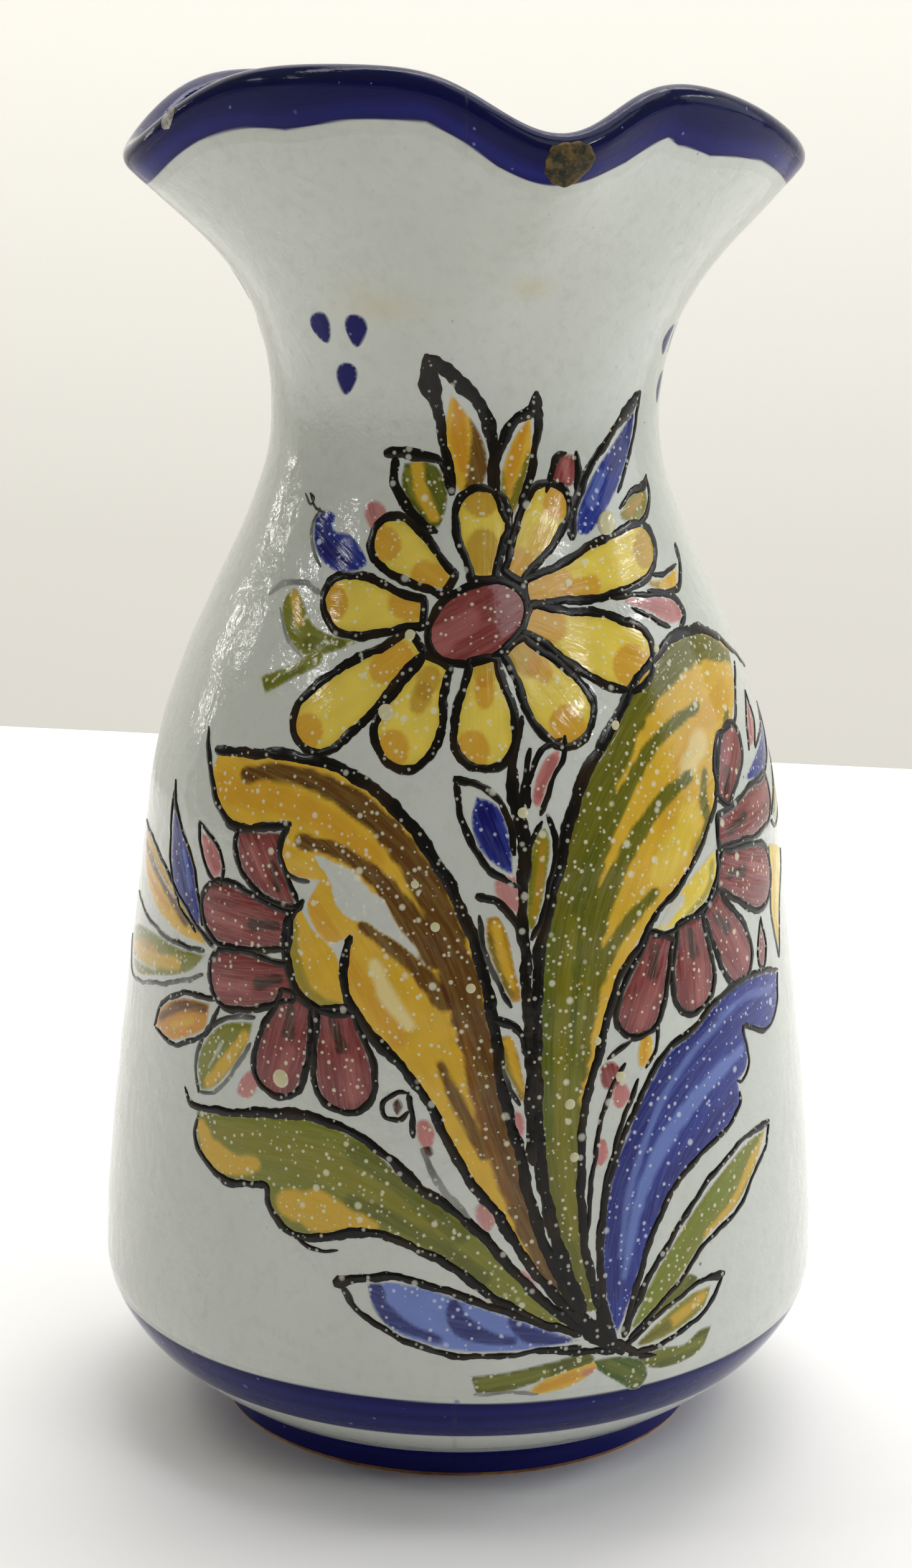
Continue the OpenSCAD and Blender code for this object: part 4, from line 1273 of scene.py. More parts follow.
patch("foot_green_middle", "green_enamel",
    [(21.8, 28.4), (26.4, 28.8), (31, 27.2), (32, 24), (30, 21.6), (26, 24.4)], tone(62, 88, 22),
    [([(25, 27.4, 1.6), (30.2, 24, 1.6)], LEAF_GREEN, 0.4, 1.2)])
patch("foot_green_left", "green_enamel",
    [(2, 27.6, 1), (8, 28.2), (15, 29.4), (21.6, 30.2), (22.4, 28.6), (14, 26.4), (8, 24.6), (3, 24.4, 1)],
    GREEN, [([(4, 26.2, 2), (14, 27.6, 1.8)], LEAF_GREEN, 0.7, 1.2)])
patch("foot_yellow_small", "yellow_enamel",
    [(11.2, 24), (14, 26.6), (19.5, 28.4), (24, 28.4), (18.3, 24.6)], YELLOW,
    [([(13, 24.8, 1.4), (19, 26.6, 1.4)], ORANGE, 0.7, 1),
        ([(20.6, 26.8, 1.4), (22.6, 27, 1.4)], PINK, 0.8, 0.8)])
ink("foot_lines", [(18.6, 37.4, 2.4), (22.4, 33.4, 3.2), (26, 29.6, 2.6)],
    [(23.2, 38, 2), (24.2, 33.6, 2.6), (27.4, 29, 1.6)],
    [(12.2, 31.4, 0.9), (19.4, 30.6, 1.2), (26.2, 29.8, 1.4)],
    [(26.2, 31.4, 1.8), (30.2, 28.4, 1.2), (33.6, 27.6, 0.7)],
    ([(2.6, 24.2, 0.6), (9, 24.4, 0.7), (13, 23.8, 0.7)], 0.5))
print("leaves at the foot are painted")


# %% [markdown]
# ## The maroon flowers and the stem
# The two side flowers turn away round the pot, so each shows five or six petals on one side of a yellow
# heart. Their petals are scratchy: the brush left light streaks and a dark dab at each base. The
# straight stem between the big leaves carries buds in pairs.

# %% Side flowers
LEFT_FLOWER = [((-28.4, 96.6), (-47.4, 97.4), 9.4), ((-27.8, 88.6), (-45, 86.4), 8.8),
    ((-26.6, 86.4), (-31.4, 70.4), 9), ((-20, 85.4), (-17.6, 69.4), 9.6)]
RIGHT_FLOWER = [((49, 114.5), (54.8, 125), 7.6), ((47.6, 109.6), (70, 111.4), 7.6),
    ((48, 103.6), (67, 97.8), 9.8), ((45.4, 98.6), (55.6, 85), 8), ((40.2, 97), (41.6, 82), 8.8),
    ((34, 95.4), (28.2, 80.4), 8)]
for flower, petals in (("left", LEFT_FLOWER), ("right", RIGHT_FLOWER)):
    rims = []
    for number, (start, tip, width) in enumerate(petals):
        edge = petal(start, tip, width, 0.62)
        dab = [in_petal(start, tip, 0.12, 0.6) + (1.6,), in_petal(start, tip, 0.36, -0.3) + (2.2,)]
        glow = [in_petal(start, tip, 0.5, -1.4) + (1.6,), in_petal(start, tip, 0.85, -1.0) + (1.8,)]
        shade = [in_petal(start, tip, 0.55, 2.2) + (1.4,), in_petal(start, tip, 0.9, 1.6) + (1.6,)]
        patch(f"{flower}_flower_petal_{number + 1}", "maroon_enamel", edge, MAROON,
            [(glow, PINK, 0.35, 1.6), (shade, WINE, 0.3, 1.4), (dab, DARK_BROWN, 0.95, 0.5)],
            [start, tip], WINE)
        rims.append((petal(start, tip, width + 0.7, 0.62), 1.25, 0.95))
    ink(f"{flower}_flower_outlines", *rims)
edge = outline_of([(-38.6, 111, 1), (-39, 108.4), (-38, 105.2), (-35, 102.7), (-30, 101),
        (-26.8, 100.9, 1), (-29.2, 105.4), (-30.4, 108.4), (-29.6, 112, 1), (-34, 111.4)])
patch("left_flower_petal_5", "maroon_enamel", edge, MAROON,
    [([(-35.6, 108.6, 1.4), (-33.6, 104.6, 1.4)], PINK, 0.35, 1.4),
        ([(-31.6, 106.6, 1.6), (-30.4, 103.2, 1.6)], DARK_BROWN, 0.95, 0.5)], [(-28, 101), (-35, 112)],
    WINE)
ink("left_flower_petal_5_line",
    [(-38.8, 111.6, 1), (-39.4, 108.4, 1.3), (-38.4, 105, 1.3), (-35.2, 102.3, 1.3), (-30, 100.5, 1.3),
        (-26.6, 100.6, 1.1)],
    [(-29.2, 112.4, 0.8), (-30, 108.4, 1.1), (-28.8, 105.2, 1.1), (-26.6, 101.4, 1.2)])
patch("left_flower_heart", "yellow_enamel",
    [(-26.6, 100.8), (-28.4, 96.2), (-27.6, 90.6), (-25.8, 87.2), (-22.5, 85.3), (-18.4, 85.3, 1),
        (-18.7, 89.7), (-19.6, 93.6), (-20.9, 95.4), (-24, 97.6)], YELLOW,
    [([(-27.4, 98, 1.6), (-27, 92, 2.2), (-24, 87, 2.2), (-19.6, 85.8, 1.6)], OLIVE, 0.8, 1.2)])
ink("left_flower_heart_line",
    [(-25.6, 102, 1.3), (-28.8, 97.4, 1.7), (-28.4, 91, 1.9), (-26.2, 86.9, 1.9), (-22.4, 84.9, 1.8),
        (-17.4, 85, 1.7)])
patch("right_flower_heart", "yellow_enamel",
    [(46.4, 107.2, 1), (41, 104), (35.4, 99.6), (32.6, 96, 1), (37.5, 96.8), (44, 99.6), (46.8, 103)],
    LEMON,
    [([(34.6, 97.6, 1.6), (38, 100.4, 1.8)], None, 0.85, 0.8),
        ([(45.6, 105, 1.2), (44.6, 101, 1.4), (39, 97.6, 1)], OLIVE, 0.7, 1)])
ink("right_flower_heart_line",
    [(46.9, 107, 1), (47.2, 103.2, 1.2), (44.8, 99.4, 1.4), (38.4, 96.4, 1.1), (32.4, 95.4, 0.9)])
print("side flowers:", len(LEFT_FLOWER) + len(RIGHT_FLOWER), "petals")

# %% Round the left flower
patch("left_blue_blade", "blue_enamel",
    [(-57.4, 111.6, 1), (-58, 106.3), (-57.4, 101.3), (-54.2, 96.7), (-48.2, 94), (-49.2, 100.3),
        (-51.8, 106)], ROYAL,
    [([(-56.6, 108, 1.8), (-54, 101, 2), (-50.4, 96.4, 1.8)], NAVY, 0.8, 1.2),
        ([(-53.6, 104.6, 1), (-50.8, 99.4, 1)], SKY, 0.6, 0.8)])
ink("left_blue_blade_line",
    [(-58.1, 115.2, 1), (-57.2, 111.4, 1.5), (-54.2, 107.8, 1.1), (-50.6, 103.6, 1), (-48.6, 98.8, 1),
        (-47.2, 94, 1)],
    [(-58.2, 113.4, 0.9), (-58.8, 107.4, 0.9), (-57.8, 101, 0.8), (-54.6, 96.2, 0.9), (-48.8, 92.6, 0.9)])
patch("left_pink_bud", "maroon_enamel",
    [(-48.2, 108.8, 1), (-47.4, 105.6), (-44.6, 102.4), (-42.8, 103.4), (-43.2, 106.2), (-45.2, 108.2)],
    PINK, [([(-46, 106.4, 1.2), (-44, 104, 1.2)], MAROON, 0.6, 0.9)])
ink("left_pink_bud_line",
    [(-48.9, 110.6, 0.9), (-48.2, 106.4, 0.9), (-45.6, 102.4, 0.9), (-42.4, 101.4, 0.9)],
    [(-48.8, 110.4, 0.8), (-44.6, 108.2, 0.9), (-42.4, 105, 0.9), (-42.4, 101.6, 0.8)])
patch("left_feather_upper", "yellow_enamel",
    [(-75, 104, 1), (-66, 102.4), (-57, 98.4), (-49, 93.4), (-45, 91.2, 1), (-54, 91.4), (-64, 93.6),
        (-72, 97.4)], YELLOW,
    [([(-72, 101.6, 1.6), (-62, 98.6, 2), (-52, 93.8, 1.8)], BROWN, 0.9, 1),
        ([(-70, 98, 1.4), (-58, 94.4, 1.4)], ORANGE, 0.7, 1),
        ([(-66, 100.6, 0.6), (-56, 96.6, 0.7)], None, 0.7, 0.6)])
ink("left_feather_upper_line",
    [(-76, 104.6, 0.8), (-66, 103, 0.9), (-57, 98.9, 1), (-49, 94, 1), (-44, 91.2, 1.1)],
    ([(-77.4, 92.4, 0.7), (-66, 90.4, 0.9), (-56, 89.6, 1), (-46.4, 90.2, 1)], 0.8))
patch("left_feather_lower", "green_enamel",
    [(-82, 85, 1), (-74, 87.8), (-64, 89), (-54, 89), (-46, 89.6, 1), (-50, 86.2), (-62, 82.4),
        (-74, 80.4)], LEAF_GREEN,
    [([(-78, 83.6, 2), (-66, 84.4, 2.6), (-54, 86.4, 2)], YELLOW, 0.85, 1.2),
        ([(-72, 85.8, 1), (-62, 86.6, 1)], ORANGE, 0.7, 0.8),
        ([(-76, 81.8, 0.8), (-62, 83.4, 0.8)], None, 0.6, 0.7)])
ink("left_feather_lower_line",
    ([(-84, 83.4, 0.7), (-76, 79, 0.7), (-63.4, 80.9, 0.8), (-53, 83.8, 0.9), (-46.6, 86.4, 0.9)], 0.65))
patch("left_brown_leaf", "yellow_enamel",
    [(-60.6, 75), (-58.6, 78.2), (-52.5, 81.2), (-44.6, 82.2, 1), (-45.8, 78), (-49.7, 75.7),
        (-55.1, 73.8)], ORANGE,
    [([(-59, 76.4, 1.4), (-53, 79.8, 1.8), (-46, 81.2, 1.6)], BROWN, 0.9, 0.9),
        ([(-55, 76.2, 1.2), (-49, 78.4, 1.2)], YELLOW, 0.8, 0.9)])
ink("left_brown_leaf_line", [(-61.4, 74.4, 0.9), (-59.2, 78.3, 0.9), (-52.7, 81.9, 1), (-43, 83.2, 1.1)],
    [(-61, 74.2, 0.9), (-55.1, 73.2, 0.9), (-49.4, 75, 0.9), (-45, 77.8, 1), (-42.4, 82.2, 1)])
patch("left_small_green_leaf", "green_enamel",
    [(-46.6, 67.8, 1), (-47.4, 72.2), (-45, 76.7), (-40.7, 79.9), (-35, 81.2, 1), (-36, 77.6),
        (-40, 72.2), (-43.9, 68.6)], LEAF_GREEN,
    [([(-44.6, 69.4, 2), (-40.6, 73.6, 2.2), (-36.6, 78.6, 1.8)], YELLOW, 0.92, 0.9),
        ([(-44.6, 72, 0.6), (-41.6, 76.4, 0.8)], None, 0.6, 0.6)])
ink("left_small_green_leaf_line",
    ([(-47, 67.2, 0.8), (-48, 72.2, 0.9), (-45.6, 77.2, 0.9), (-41, 80.6, 0.9), (-34.6, 82, 1)], 0.75),
    ([(-47, 67.4, 0.7), (-43.9, 67.9, 0.7), (-39.4, 72, 0.8), (-35.4, 77.8, 0.9)], 0.6))
patch("left_pink_drop", "maroon_enamel",
    [(-38.3, 69.2), (-37.1, 72.2), (-35.1, 73.6), (-33.8, 71.4), (-35.8, 68.7)], PINK, cover=0.8)

# %% Round the right flower
patch("right_pink_spike", "maroon_enamel",
    [(63.4, 127.4, 1), (65.4, 123.8), (63.4, 121), (60.8, 120.6), (61.6, 124)], PINK,
    [([(63.2, 125.6, 1), (62.4, 122, 1.2)], MAROON, 0.6, 0.8)])
ink("right_pink_spike_line", [(63.7, 128.6, 0.8), (66, 123.8, 0.8), (63.4, 120.2, 0.9)],
    [(63.6, 128.4, 0.7), (61.2, 124.4, 0.8), (60, 120, 0.9)])
patch("right_blue_spike", "blue_enamel",
    [(76.8, 122.6, 1), (72.2, 117.7), (66.5, 115.3), (57.6, 116.2), (64, 119), (70.6, 120.8)], ROYAL,
    [([(72, 119.6, 1.6), (64, 117.2, 1.6)], NAVY, 0.7, 1),
        ([(75, 121.4, 0.9), (70, 119.2, 0.9)], SKY, 0.6, 0.7)])
ink("right_blue_spike_line", [(78, 124.2, 0.9), (72.6, 117.2, 0.9), (66.5, 114.6, 1), (58, 115, 1.1)],
    [(77.8, 124, 0.8), (70, 121.4, 0.8), (63.6, 119.8, 0.9)])
patch("right_green_leaf", "green_enamel",
    [(85, 116, 1), (76, 110.8), (70.6, 107.6, 1), (74.8, 105.8), (82.8, 108.6)], LEAF_GREEN,
    [([(82, 113, 1.8), (75, 108.6, 1.8)], YELLOW, 0.85, 1)])
ink("right_green_leaf_line", [(86.2, 117.2, 0.9), (76, 111.6, 0.9), (70, 107.8, 1)],
    [(86, 116.8, 0.8), (83.4, 108, 0.8), (74.8, 105, 0.9), (69.6, 106.8, 1)])
patch("right_yellow_leaf", "yellow_enamel",
    [(78, 100.6, 1), (71, 102.6), (67.4, 103.6, 1), (66.2, 98.6), (67.4, 90.8), (69.6, 85.4, 1),
        (72, 92.6)], LEMON,
    [([(69.6, 101, 1.6), (68.6, 94, 1.8), (69.4, 87, 1.2)], YELLOW, 0.85, 1),
        ([(71.6, 98, 0.9), (70.6, 91, 0.9)], None, 0.6, 0.7)])
ink("right_yellow_leaf_line", ([(79, 100, 0.7), (72.6, 92.8, 0.8), (69.6, 84.2, 0.8)], 0.7),
    ([(67, 103.2, 0.9), (66.6, 92, 0.9), (69.4, 84.4, 0.8)], 0.7))
patch("right_pink_drop", "maroon_enamel",
    [(61.2, 92, 1), (62.4, 88), (61.6, 85.2), (60.2, 85.6), (60.2, 89)], MAROON)
ink("right_pink_drop_line",
    [(61.2, 93, 0.8), (62.9, 88, 0.8), (61.6, 84.6, 0.9), (59.8, 85.6, 0.8), (59.8, 89, 0.7),
        (61, 92.6, 0.7)])
print("small leaves round both flowers are on")

# %% Stem with its buds
ink("stem",
    [(9.3, 131.4, 1.2), (8, 126, 1.6), (7.8, 120.3, 2), (9.1, 115.8, 2.2), (9.7, 110.7, 2),
        (9.5, 102.9, 1.8), (10.1, 95.2, 1.8), (10.5, 87.5, 1.9), (11.1, 80, 1.9), (11.2, 71.2, 1.9),
        (11.8, 61.7, 2)], [(10.6, 126.6, 0.9), (9.6, 121, 1.1), (9, 116, 1.4)])
patch("stem_blue_bud", "blue_enamel",
    [(2.2, 119.6, 1), (1.4, 116), (2.8, 111.6), (5.6, 108.8), (8, 107.4, 1), (7.8, 111.4), (6.8, 115.8),
        (5, 118.6)], ROYAL, [([(3.6, 117.4, 2.6), (4.6, 113.4, 3), (6.8, 109.8, 1.8)], NAVY, 0.9, 0.9)])
ink("stem_blue_bud_line",
    [(-1.4, 122.2, 1.8), (1.6, 121.5, 1.2), (5.4, 119.4, 1.1), (7.3, 115.8, 1.1), (8.2, 110.5, 1.2)],
    [(-1, 121.8, 1), (-0.3, 117.4, 1.1), (1.5, 112.4, 1.2), (4.6, 108.3, 1.2), (7.6, 106.2, 1.2),
        (9.2, 105.6, 1)])
patch("stem_pink_bud", "maroon_enamel",
    [(15.3, 126.4, 1), (15.4, 124.6), (13.6, 121.4), (12, 117.6), (11, 118.6), (11.4, 121.8), (13, 125)],
    PINK, [([(14.4, 124.6, 1.2), (12.2, 119.6, 1.2)], MAROON, 0.45, 0.9)])
ink("stem_pink_bud_line", [(16.2, 128.2, 1.2), (16, 125, 0.9), (14.1, 121.2, 0.9), (12.3, 116.4, 1)],
    [(15.8, 127.8, 1.1), (12.4, 126, 1), (10.4, 121.7, 1), (10.4, 117.6, 1)])
patch("stem_olive_leaf_right", "green_enamel",
    [(12.9, 114.6), (13.9, 112.8), (13.5, 107.4), (12.3, 101.3), (10.9, 98.4), (10.2, 100.2),
        (10.4, 107.6), (11.3, 113)], OLIVE,
    [([(12.6, 112, 1), (12.2, 106, 1.1), (11.4, 101, 0.9)], OCHRE, 0.8, 0.8),
        ([(11, 110, 0.7), (10.8, 103, 0.7)], GREEN, 0.6, 0.6)])
ink("stem_olive_leaf_right_line",
    [(13.4, 116.6, 0.9), (14.8, 112.8, 1), (14.2, 107.2, 1), (12.8, 101, 1), (11, 97.2, 1.1)],
    [(12.6, 115.6, 0.8), (10.8, 112, 1), (10.2, 106, 1)])
patch("stem_pink_spot", "maroon_enamel", [(5, 106.6), (8.4, 107.4), (9.4, 104.4), (9, 101.6), (6.2, 103)],
    PINK, cover=0.75)
for number, (shift, drop, size) in enumerate([(0, 0, 1.0), (2.4, -18.8, 0.78)]):
    def moved(places):
        return [(4 + (p[0] - 4) * size + shift, 102 + (p[1] - 102) * size + drop) + tuple(p[2:])
                for p in places]
    patch(f"stem_olive_leaf_left_{number + 1}", "yellow_enamel",
        moved([(3.9, 100.9, 1), (5.6, 101.2), (7.2, 98.6), (8.4, 93.5), (9.4, 87.8), (8, 87.6, 1),
                (5.6, 92.3), (3.9, 97.4)]), OCHRE,
        [(moved([(5.4, 99.6, 1.6), (6.4, 95, 1.6), (8, 90, 1.2)]), YELLOW, 0.8, 0.8),
            (moved([(4.4, 98.4, 0.8), (5.8, 93, 0.9), (8, 88.6, 0.9)]), GREEN, 0.75, 0.7)])
    ink(f"stem_olive_leaf_left_line_{number + 1}",
        moved([(2.2, 104.4, 1.6), (6.1, 103, 1.4), (8.6, 100, 1.3), (9.4, 96.4, 1.2)]),
        (moved([(2.8, 101.4, 0.8), (3.3, 97.6, 0.9), (5.2, 91.9, 0.9), (8, 86.8, 0.9)]), 0.8))
patch("stem_pink_low", "maroon_enamel", [(8.6, 70.6), (10, 70), (10.2, 66.6), (8.8, 66), (8, 68.4)], PINK,
    cover=0.8)
print("stem and buds are on")

# %% Twigs in the gaps
ink("twig_lines",
    [(-8.2, 73.3, 0.9), (-9.4, 73.4, 0.8), (-12, 71.4, 0.8), (-11.6, 69.2, 0.9), (-9.4, 68.9, 0.9),
        (-8, 70.4, 0.8)], [(-8, 73.5, 0.9), (-7.6, 70.4, 1), (-7.2, 66.2, 1)],
    ([(-6, 64.6, 0.8), (-3.4, 59.6, 1.2), (1.6, 53.2, 1.2), (4.4, 49.6, 0.8)], 0.55),
    [(28.4, 79.8, 0.8), (26, 78.6, 1), (23.9, 77.4, 0.8)],
    [(27.2, 76.4, 0.9), (24.6, 72.6, 0.9), (22.6, 66, 0.9), (21.4, 58, 0.9), (20.8, 50, 0.8)],
    [(29.6, 73.6, 0.9), (26.4, 66, 1), (24, 58, 0.9), (22.6, 48.6, 0.8)],
    [(33.4, 82.4, 0.8), (33, 78, 0.8), (31, 75, 0.8)])
patch("twig_brown_dot_1", "maroon_enamel", [(-10.6, 71.4), (-9.6, 72.4), (-8.8, 71.2), (-9.8, 69.6)],
    DARK_BROWN)
patch("twig_pink_1", "maroon_enamel", [(-6.8, 68.6), (-5.4, 69.4), (-3.8, 67.6), (-4.4, 64.8), (-6, 65)],
    PINK, cover=0.85)
patch("twig_brown_dot_2", "maroon_enamel", [(-5.9, 64.8), (-4.6, 65.4), (-4, 63.8), (-5.2, 62.9)],
    DARK_BROWN)
patch("twig_pink_2", "maroon_enamel", [(2.6, 55.6), (4.6, 56), (6, 53.4), (4.6, 51.2), (3, 52.4)], PINK,
    cover=0.7)
patch("twig_pink_3", "maroon_enamel", [(9.4, 45), (10.8, 44.6), (13.4, 40.2), (12.4, 39.6)], PINK,
    cover=0.85)
patch("twig_red_bud", "maroon_enamel", [(22.8, 76.4), (25, 77), (26.6, 74.6), (25.4, 72.4), (23.2, 73)],
    MAROON)
patch("twig_pink_4", "maroon_enamel", [(25, 72.6), (27, 73.4), (28.2, 71), (26.4, 69.2), (25, 70.2)], PINK)
patch("twig_pink_5", "maroon_enamel", [(21.8, 64.4), (23.6, 64.8), (24.2, 61.6), (22.4, 60.4)], PINK)
patch("twig_yellow_petal", "yellow_enamel",
    [(31.2, 81.2), (32.4, 78.8), (31.6, 75.6), (29.8, 75.4), (29.6, 78.6)], YELLOW,
    [([(31, 80, 1), (30.6, 76.6, 1.2)], ORANGE, 0.6, 0.8)])
print("twigs are on")


# %% [markdown]
# ## Bubbles and chips
# Most bubbles are only a change of colour and a dent, but the largest stand up like blisters, so each
# gets a small closed dome. The lip has lost two flakes of glaze: the wide one shows old mottled clay,
# the small one fresh pale clay. Each is a rough disc laid over the blue, because broken clay has to
# catch the light as real geometry.

# %% Blisters
def disc_parts(ring, rows):
    """How far out each point of a round patch lies, from 0 to 1: its middle, then ring after ring."""
    return np.concatenate([[0]] + [np.full(ring, p) for p in np.linspace(0, 1, rows + 1)[1:]])


def disc_faces(ring, rows, count):
    """Faces of a closed round patch: a fan and rings on top, the same beneath, and its side."""
    faces = [(0, 1 + i, 1 + (i + 1) % ring) for i in range(ring)]
    for k in range(rows - 1):
        faces += [(1 + k * ring + i, 1 + (k + 1) * ring + i, 1 + (k + 1) * ring + (i + 1) % ring,
                   1 + k * ring + (i + 1) % ring) for i in range(ring)]
    last = 1 + (rows - 1) * ring
    faces += [tuple(v + count for v in face[::-1]) for face in faces]
    return faces + [(last + (i + 1) % ring, last + i, last + i + count, last + (i + 1) % ring + count)
                    for i in range(ring)]


def blister(name, s, z, radius, slot, ring=24, rows=6, roughness=0.0):
    """A low round dome over a bubble. A roughness above 0 would break its skin."""
    out = disc_parts(ring, rows)
    turn = np.concatenate([[0], np.tile(np.linspace(0, 2 * math.pi, ring, endpoint=False), rows)])
    flat = np.stack([s + radius * out * np.cos(turn), z + radius * out * np.sin(turn)], 1)
    grain = rng.normal(0, 1, len(flat)) * roughness
    up = 0.08 + 0.22 * radius * np.sqrt(np.clip(1 - out**2, 0, 1)) + grain
    count = len(flat)
    points = np.concatenate([laid(flat, up), laid(flat, np.full(count, -0.2))])
    marks = {"paint": np.tile(tone(206, 200, 160), (2 * count, 1)), "cover": np.full(2 * count, 0.9),
             "brush": np.zeros((2 * count, 3)), "stain": np.zeros(2 * count)}
    return piece(name, points, disc_faces(ring, rows, count), slot, marks, crease=80)


BLISTERS = [(24.6, 158.7, 1.9), (-29.5, 73.2, 1.5), (-12.1, 131.6, 1.3), (25, 129, 0.8), (17.6, 71, 0.9),
    (18.4, 62.5, 0.8), (26.2, 74.4, 0.9), (22.2, 80.5, 0.7), (-4, 99.5, 0.8), (-7.2, 106, 0.7),
    (1.6, 90, 0.8), (-8.4, 143, 0.9), (34, 139.2, 0.7), (9.4, 117, 0.9)]
for number, (s, z, radius) in enumerate(BLISTERS):
    blister(f"blister_{number + 1:02d}", s, z, radius, "yellow_enamel" if z > 120 else "green_enamel")
print("blisters:", len(BLISTERS))


# %% Chips on the lip
def lip_chip(name, direction, turn, radius, depth, proud, finish, ring=40, rows=9):
    """A rough broken patch that follows the round lip at a direction and a turn round it."""
    a = np.linspace(0, 2 * math.pi, ring, endpoint=False)
    broken = 1 + 0.03 * np.sin(3 * a + 1) + 0.03 * np.sin(5 * a + 2.2) + 0.03 * np.sin(11 * a)
    out = disc_parts(ring, rows)
    u = radius * out * np.concatenate([[0], np.tile(broken * np.cos(a), rows)])
    v = radius * out * np.concatenate([[0], np.tile(broken * np.sin(a), rows)])
    ways_here = direction + np.degrees(u / (mouth_r + 2))
    at = lip_r * math.radians(turn) + v
    shapes = flare(ways_here)
    reach = np.linalg.norm(3 * (shapes[:, 3] - shapes[:, 2]), axis=1)
    grain = rng.normal(0, 1, len(u))
    up = proud + depth * (0.5 * grain + 0.6 * np.sin(u * 1.7 + 1) * np.sin(v * 1.3)) * (1 - out**6)
    t, end = (1 + np.minimum(at, 0) / reach)[:, None], np.ones((len(u), 1))

    def on_lip(height):
        """Below the lip's start a place lies on the flare, beyond it on the round of the lip."""
        end_way = along_curve(shapes, end)[:, 0]
        centre = on_curve(shapes, end)[:, 0] + lip_r * into_wall(end_way)
        bend = (np.maximum(at, 0) / lip_r)[:, None]
        outward = np.sin(bend) * end_way - np.cos(bend) * into_wall(end_way)
        bent = centre + (lip_r + height[:, None]) * outward
        straight = on_curve(shapes, t)[:, 0] - height[:, None] * into_wall(along_curve(shapes, t)[:, 0])
        both = np.where((at > 0)[:, None], bent, straight)
        return to_space(ways_here, both[:, 0], both[:, 1])

    points = np.concatenate([on_lip(up), on_lip(np.full(len(u), -0.5))])
    made = piece(name, points, disc_faces(ring, rows, len(u)), "fired_clay", crease=180)
    made.data.materials[0] = finish
    return made


old_chip = raw_clay("old_chip", (118, 94, 48), (28, 34, 25), 380.0)
new_chip = raw_clay("new_chip", (198, 194, 184), (120, 114, 104), 500.0)
wide_chip = lip_chip("lip_chip_wide", 16.2, -14, 3.8, 0.05, 0.24, old_chip)
small_chip = lip_chip("lip_chip_small", -60, 42, 1.6, 0.12, 0.16, new_chip, ring=24, rows=5)
print("chips:", wide_chip.name, small_chip.name)


# %% [markdown]
# ## Stage, light and camera
# The pot stands on a plain pale table before a plain pale backdrop. A broad soft lamp above and behind
# it and a weaker one at the front right light it, and the backdrop has a lamp of its own. The gloss is
# shown by small bright things, as in a room: three tiny lamps for the left shoulder, a window at the
# right, and four tubes.

# %% Table and backdrop
def stage_plane(name, corners, colour, roughness):
    mesh = bpy.data.meshes.new(name)
    mesh.from_pydata(corners, [], [tuple(range(len(corners)))])
    made = bpy.data.objects.new(name, mesh)
    bpy.context.scene.collection.objects.link(made)
    finish, tree, shader = new_material(name, roughness, 1.4)
    shader.inputs["Base Color"].default_value = tone(*colour)
    made.data.materials.append(finish)
    return made


TABLE_EDGE, BACKDROP = 0.56, 0.95
stage_plane("table", [(-1.5, -1.2, 0), (1.5, -1.2, 0), (1.5, TABLE_EDGE - 0.32, 0),
                      (-1.5, TABLE_EDGE + 0.20, 0)], (244, 243, 243), 0.45)
backdrop = stage_plane("backdrop", [(-2, BACKDROP, -0.6), (2, BACKDROP, -0.6), (2, BACKDROP, 1.6),
                                    (-2, BACKDROP, 1.6)], (240, 238, 231), 0.9)
glow = backdrop.data.materials[0].node_tree.nodes["Principled BSDF"]
glow.inputs["Emission Color"].default_value = tone(243, 239, 230)
glow.inputs["Emission Strength"].default_value = 0.36


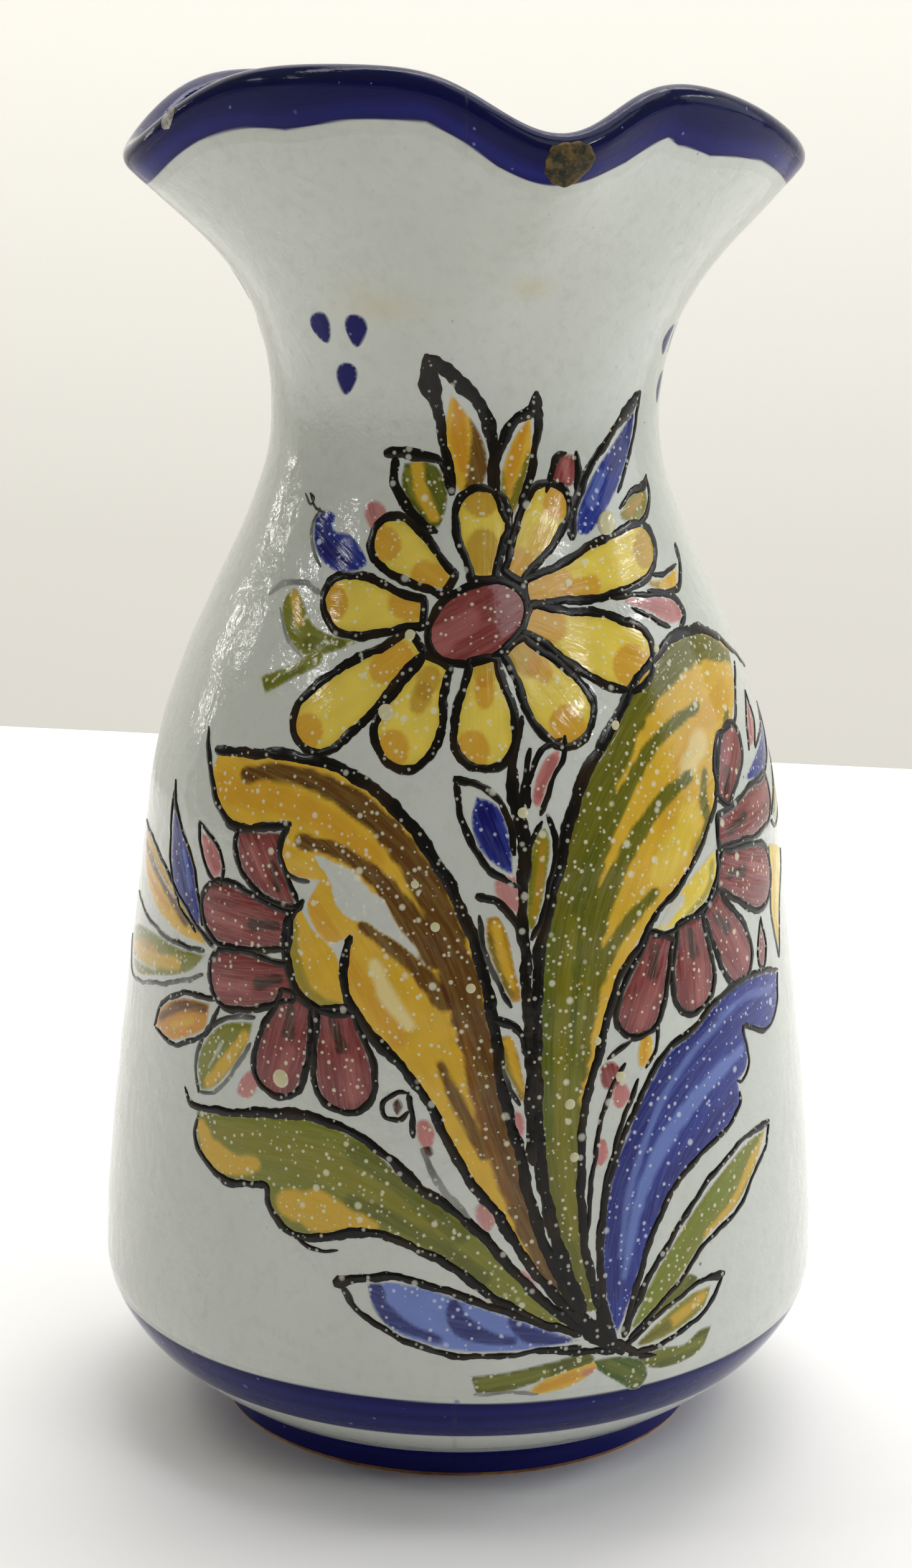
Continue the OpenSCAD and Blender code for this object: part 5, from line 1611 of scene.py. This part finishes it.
# %% Lamps
def lamp(name, azimuth, height, distance, size, power, colour=(1, 1, 1), aim=(0, 0, 0.12)):
    """A soft rectangular lamp; azimuth 0 is in front of the pot and 90 is to its right."""
    a = math.radians(azimuth)
    data = bpy.data.lights.new(name, "AREA")
    data.shape = "RECTANGLE"
    data.size, data.size_y = size
    data.energy = power
    data.color = colour
    made = bpy.data.objects.new(name, data)
    bpy.context.scene.collection.objects.link(made)
    made.location = (distance * math.sin(a), -distance * math.cos(a), height)
    made.rotation_mode = "QUATERNION"
    made.rotation_quaternion = (Vector(aim) - made.location).to_track_quat("-Z", "Y")
    return made


WARM, COOL = (1.0, 0.96, 0.9), (0.9, 0.95, 1.0)
lamp("ceiling_soft", 150, 1.7, 0.45, (1.8, 1.0), 14.0, aim=(0, 0.2, 0))
lamp("front_soft", 42, 1.4, 1.3, (1.2, 0.7), 5.4, COOL)
lamp("backdrop_soft", 180, 1.5, 0.45, (2.4, 0.3), 16.0, aim=(-0.4, 1.2, 0.2))
for side, (azimuth, height) in enumerate(((-116, 0.22), (-121, 0.30), (-108, 0.38))):
    lamp(f"left_glint_{side + 1}", azimuth, height, 0.8, (0.015, 0.05), 0.08, WARM)
lamp("right_window", 100, 0.45, 1.1, (0.6, 0.7), 2.2, COOL)
TUBES = [(-84, 0.12, 0.4), (-66, 0.12, 0.4), (50, 0.2, 0.8), (96, 0.3, 1.2)]
for number, (azimuth, length, power) in enumerate(TUBES):
    lamp(f"tube_{number + 1}", azimuth, 0.72, 1.1, (length, 0.012), power)

world = bpy.data.worlds.new("soft_room")
bpy.context.scene.world = world
world.use_nodes = True
world.node_tree.nodes["Background"].inputs["Color"].default_value = tone(236, 228, 210)
world.node_tree.nodes["Background"].inputs["Strength"].default_value = 0.17
bpy.context.scene.view_settings.view_transform = "Standard"

# %% Camera at the viewer's height
EYE = Vector((0, -0.5052, 0.2320))
LOOK_DOWN, TURN, ROLL = math.radians(13.68), math.radians(0.122), math.radians(0.451)
data = bpy.data.cameras.new("camera")
data.sensor_width, data.lens = 36.0, 69.33
data.clip_start = 0.05
camera = bpy.data.objects.new("camera", data)
bpy.context.scene.collection.objects.link(camera)
camera.matrix_world = (Matrix.Translation(EYE) @ Matrix.Rotation(TURN, 4, "Z")
                       @ Matrix.Rotation(math.pi / 2 - LOOK_DOWN, 4, "X") @ Matrix.Rotation(ROLL, 4, "Z"))
bpy.context.scene.camera = camera
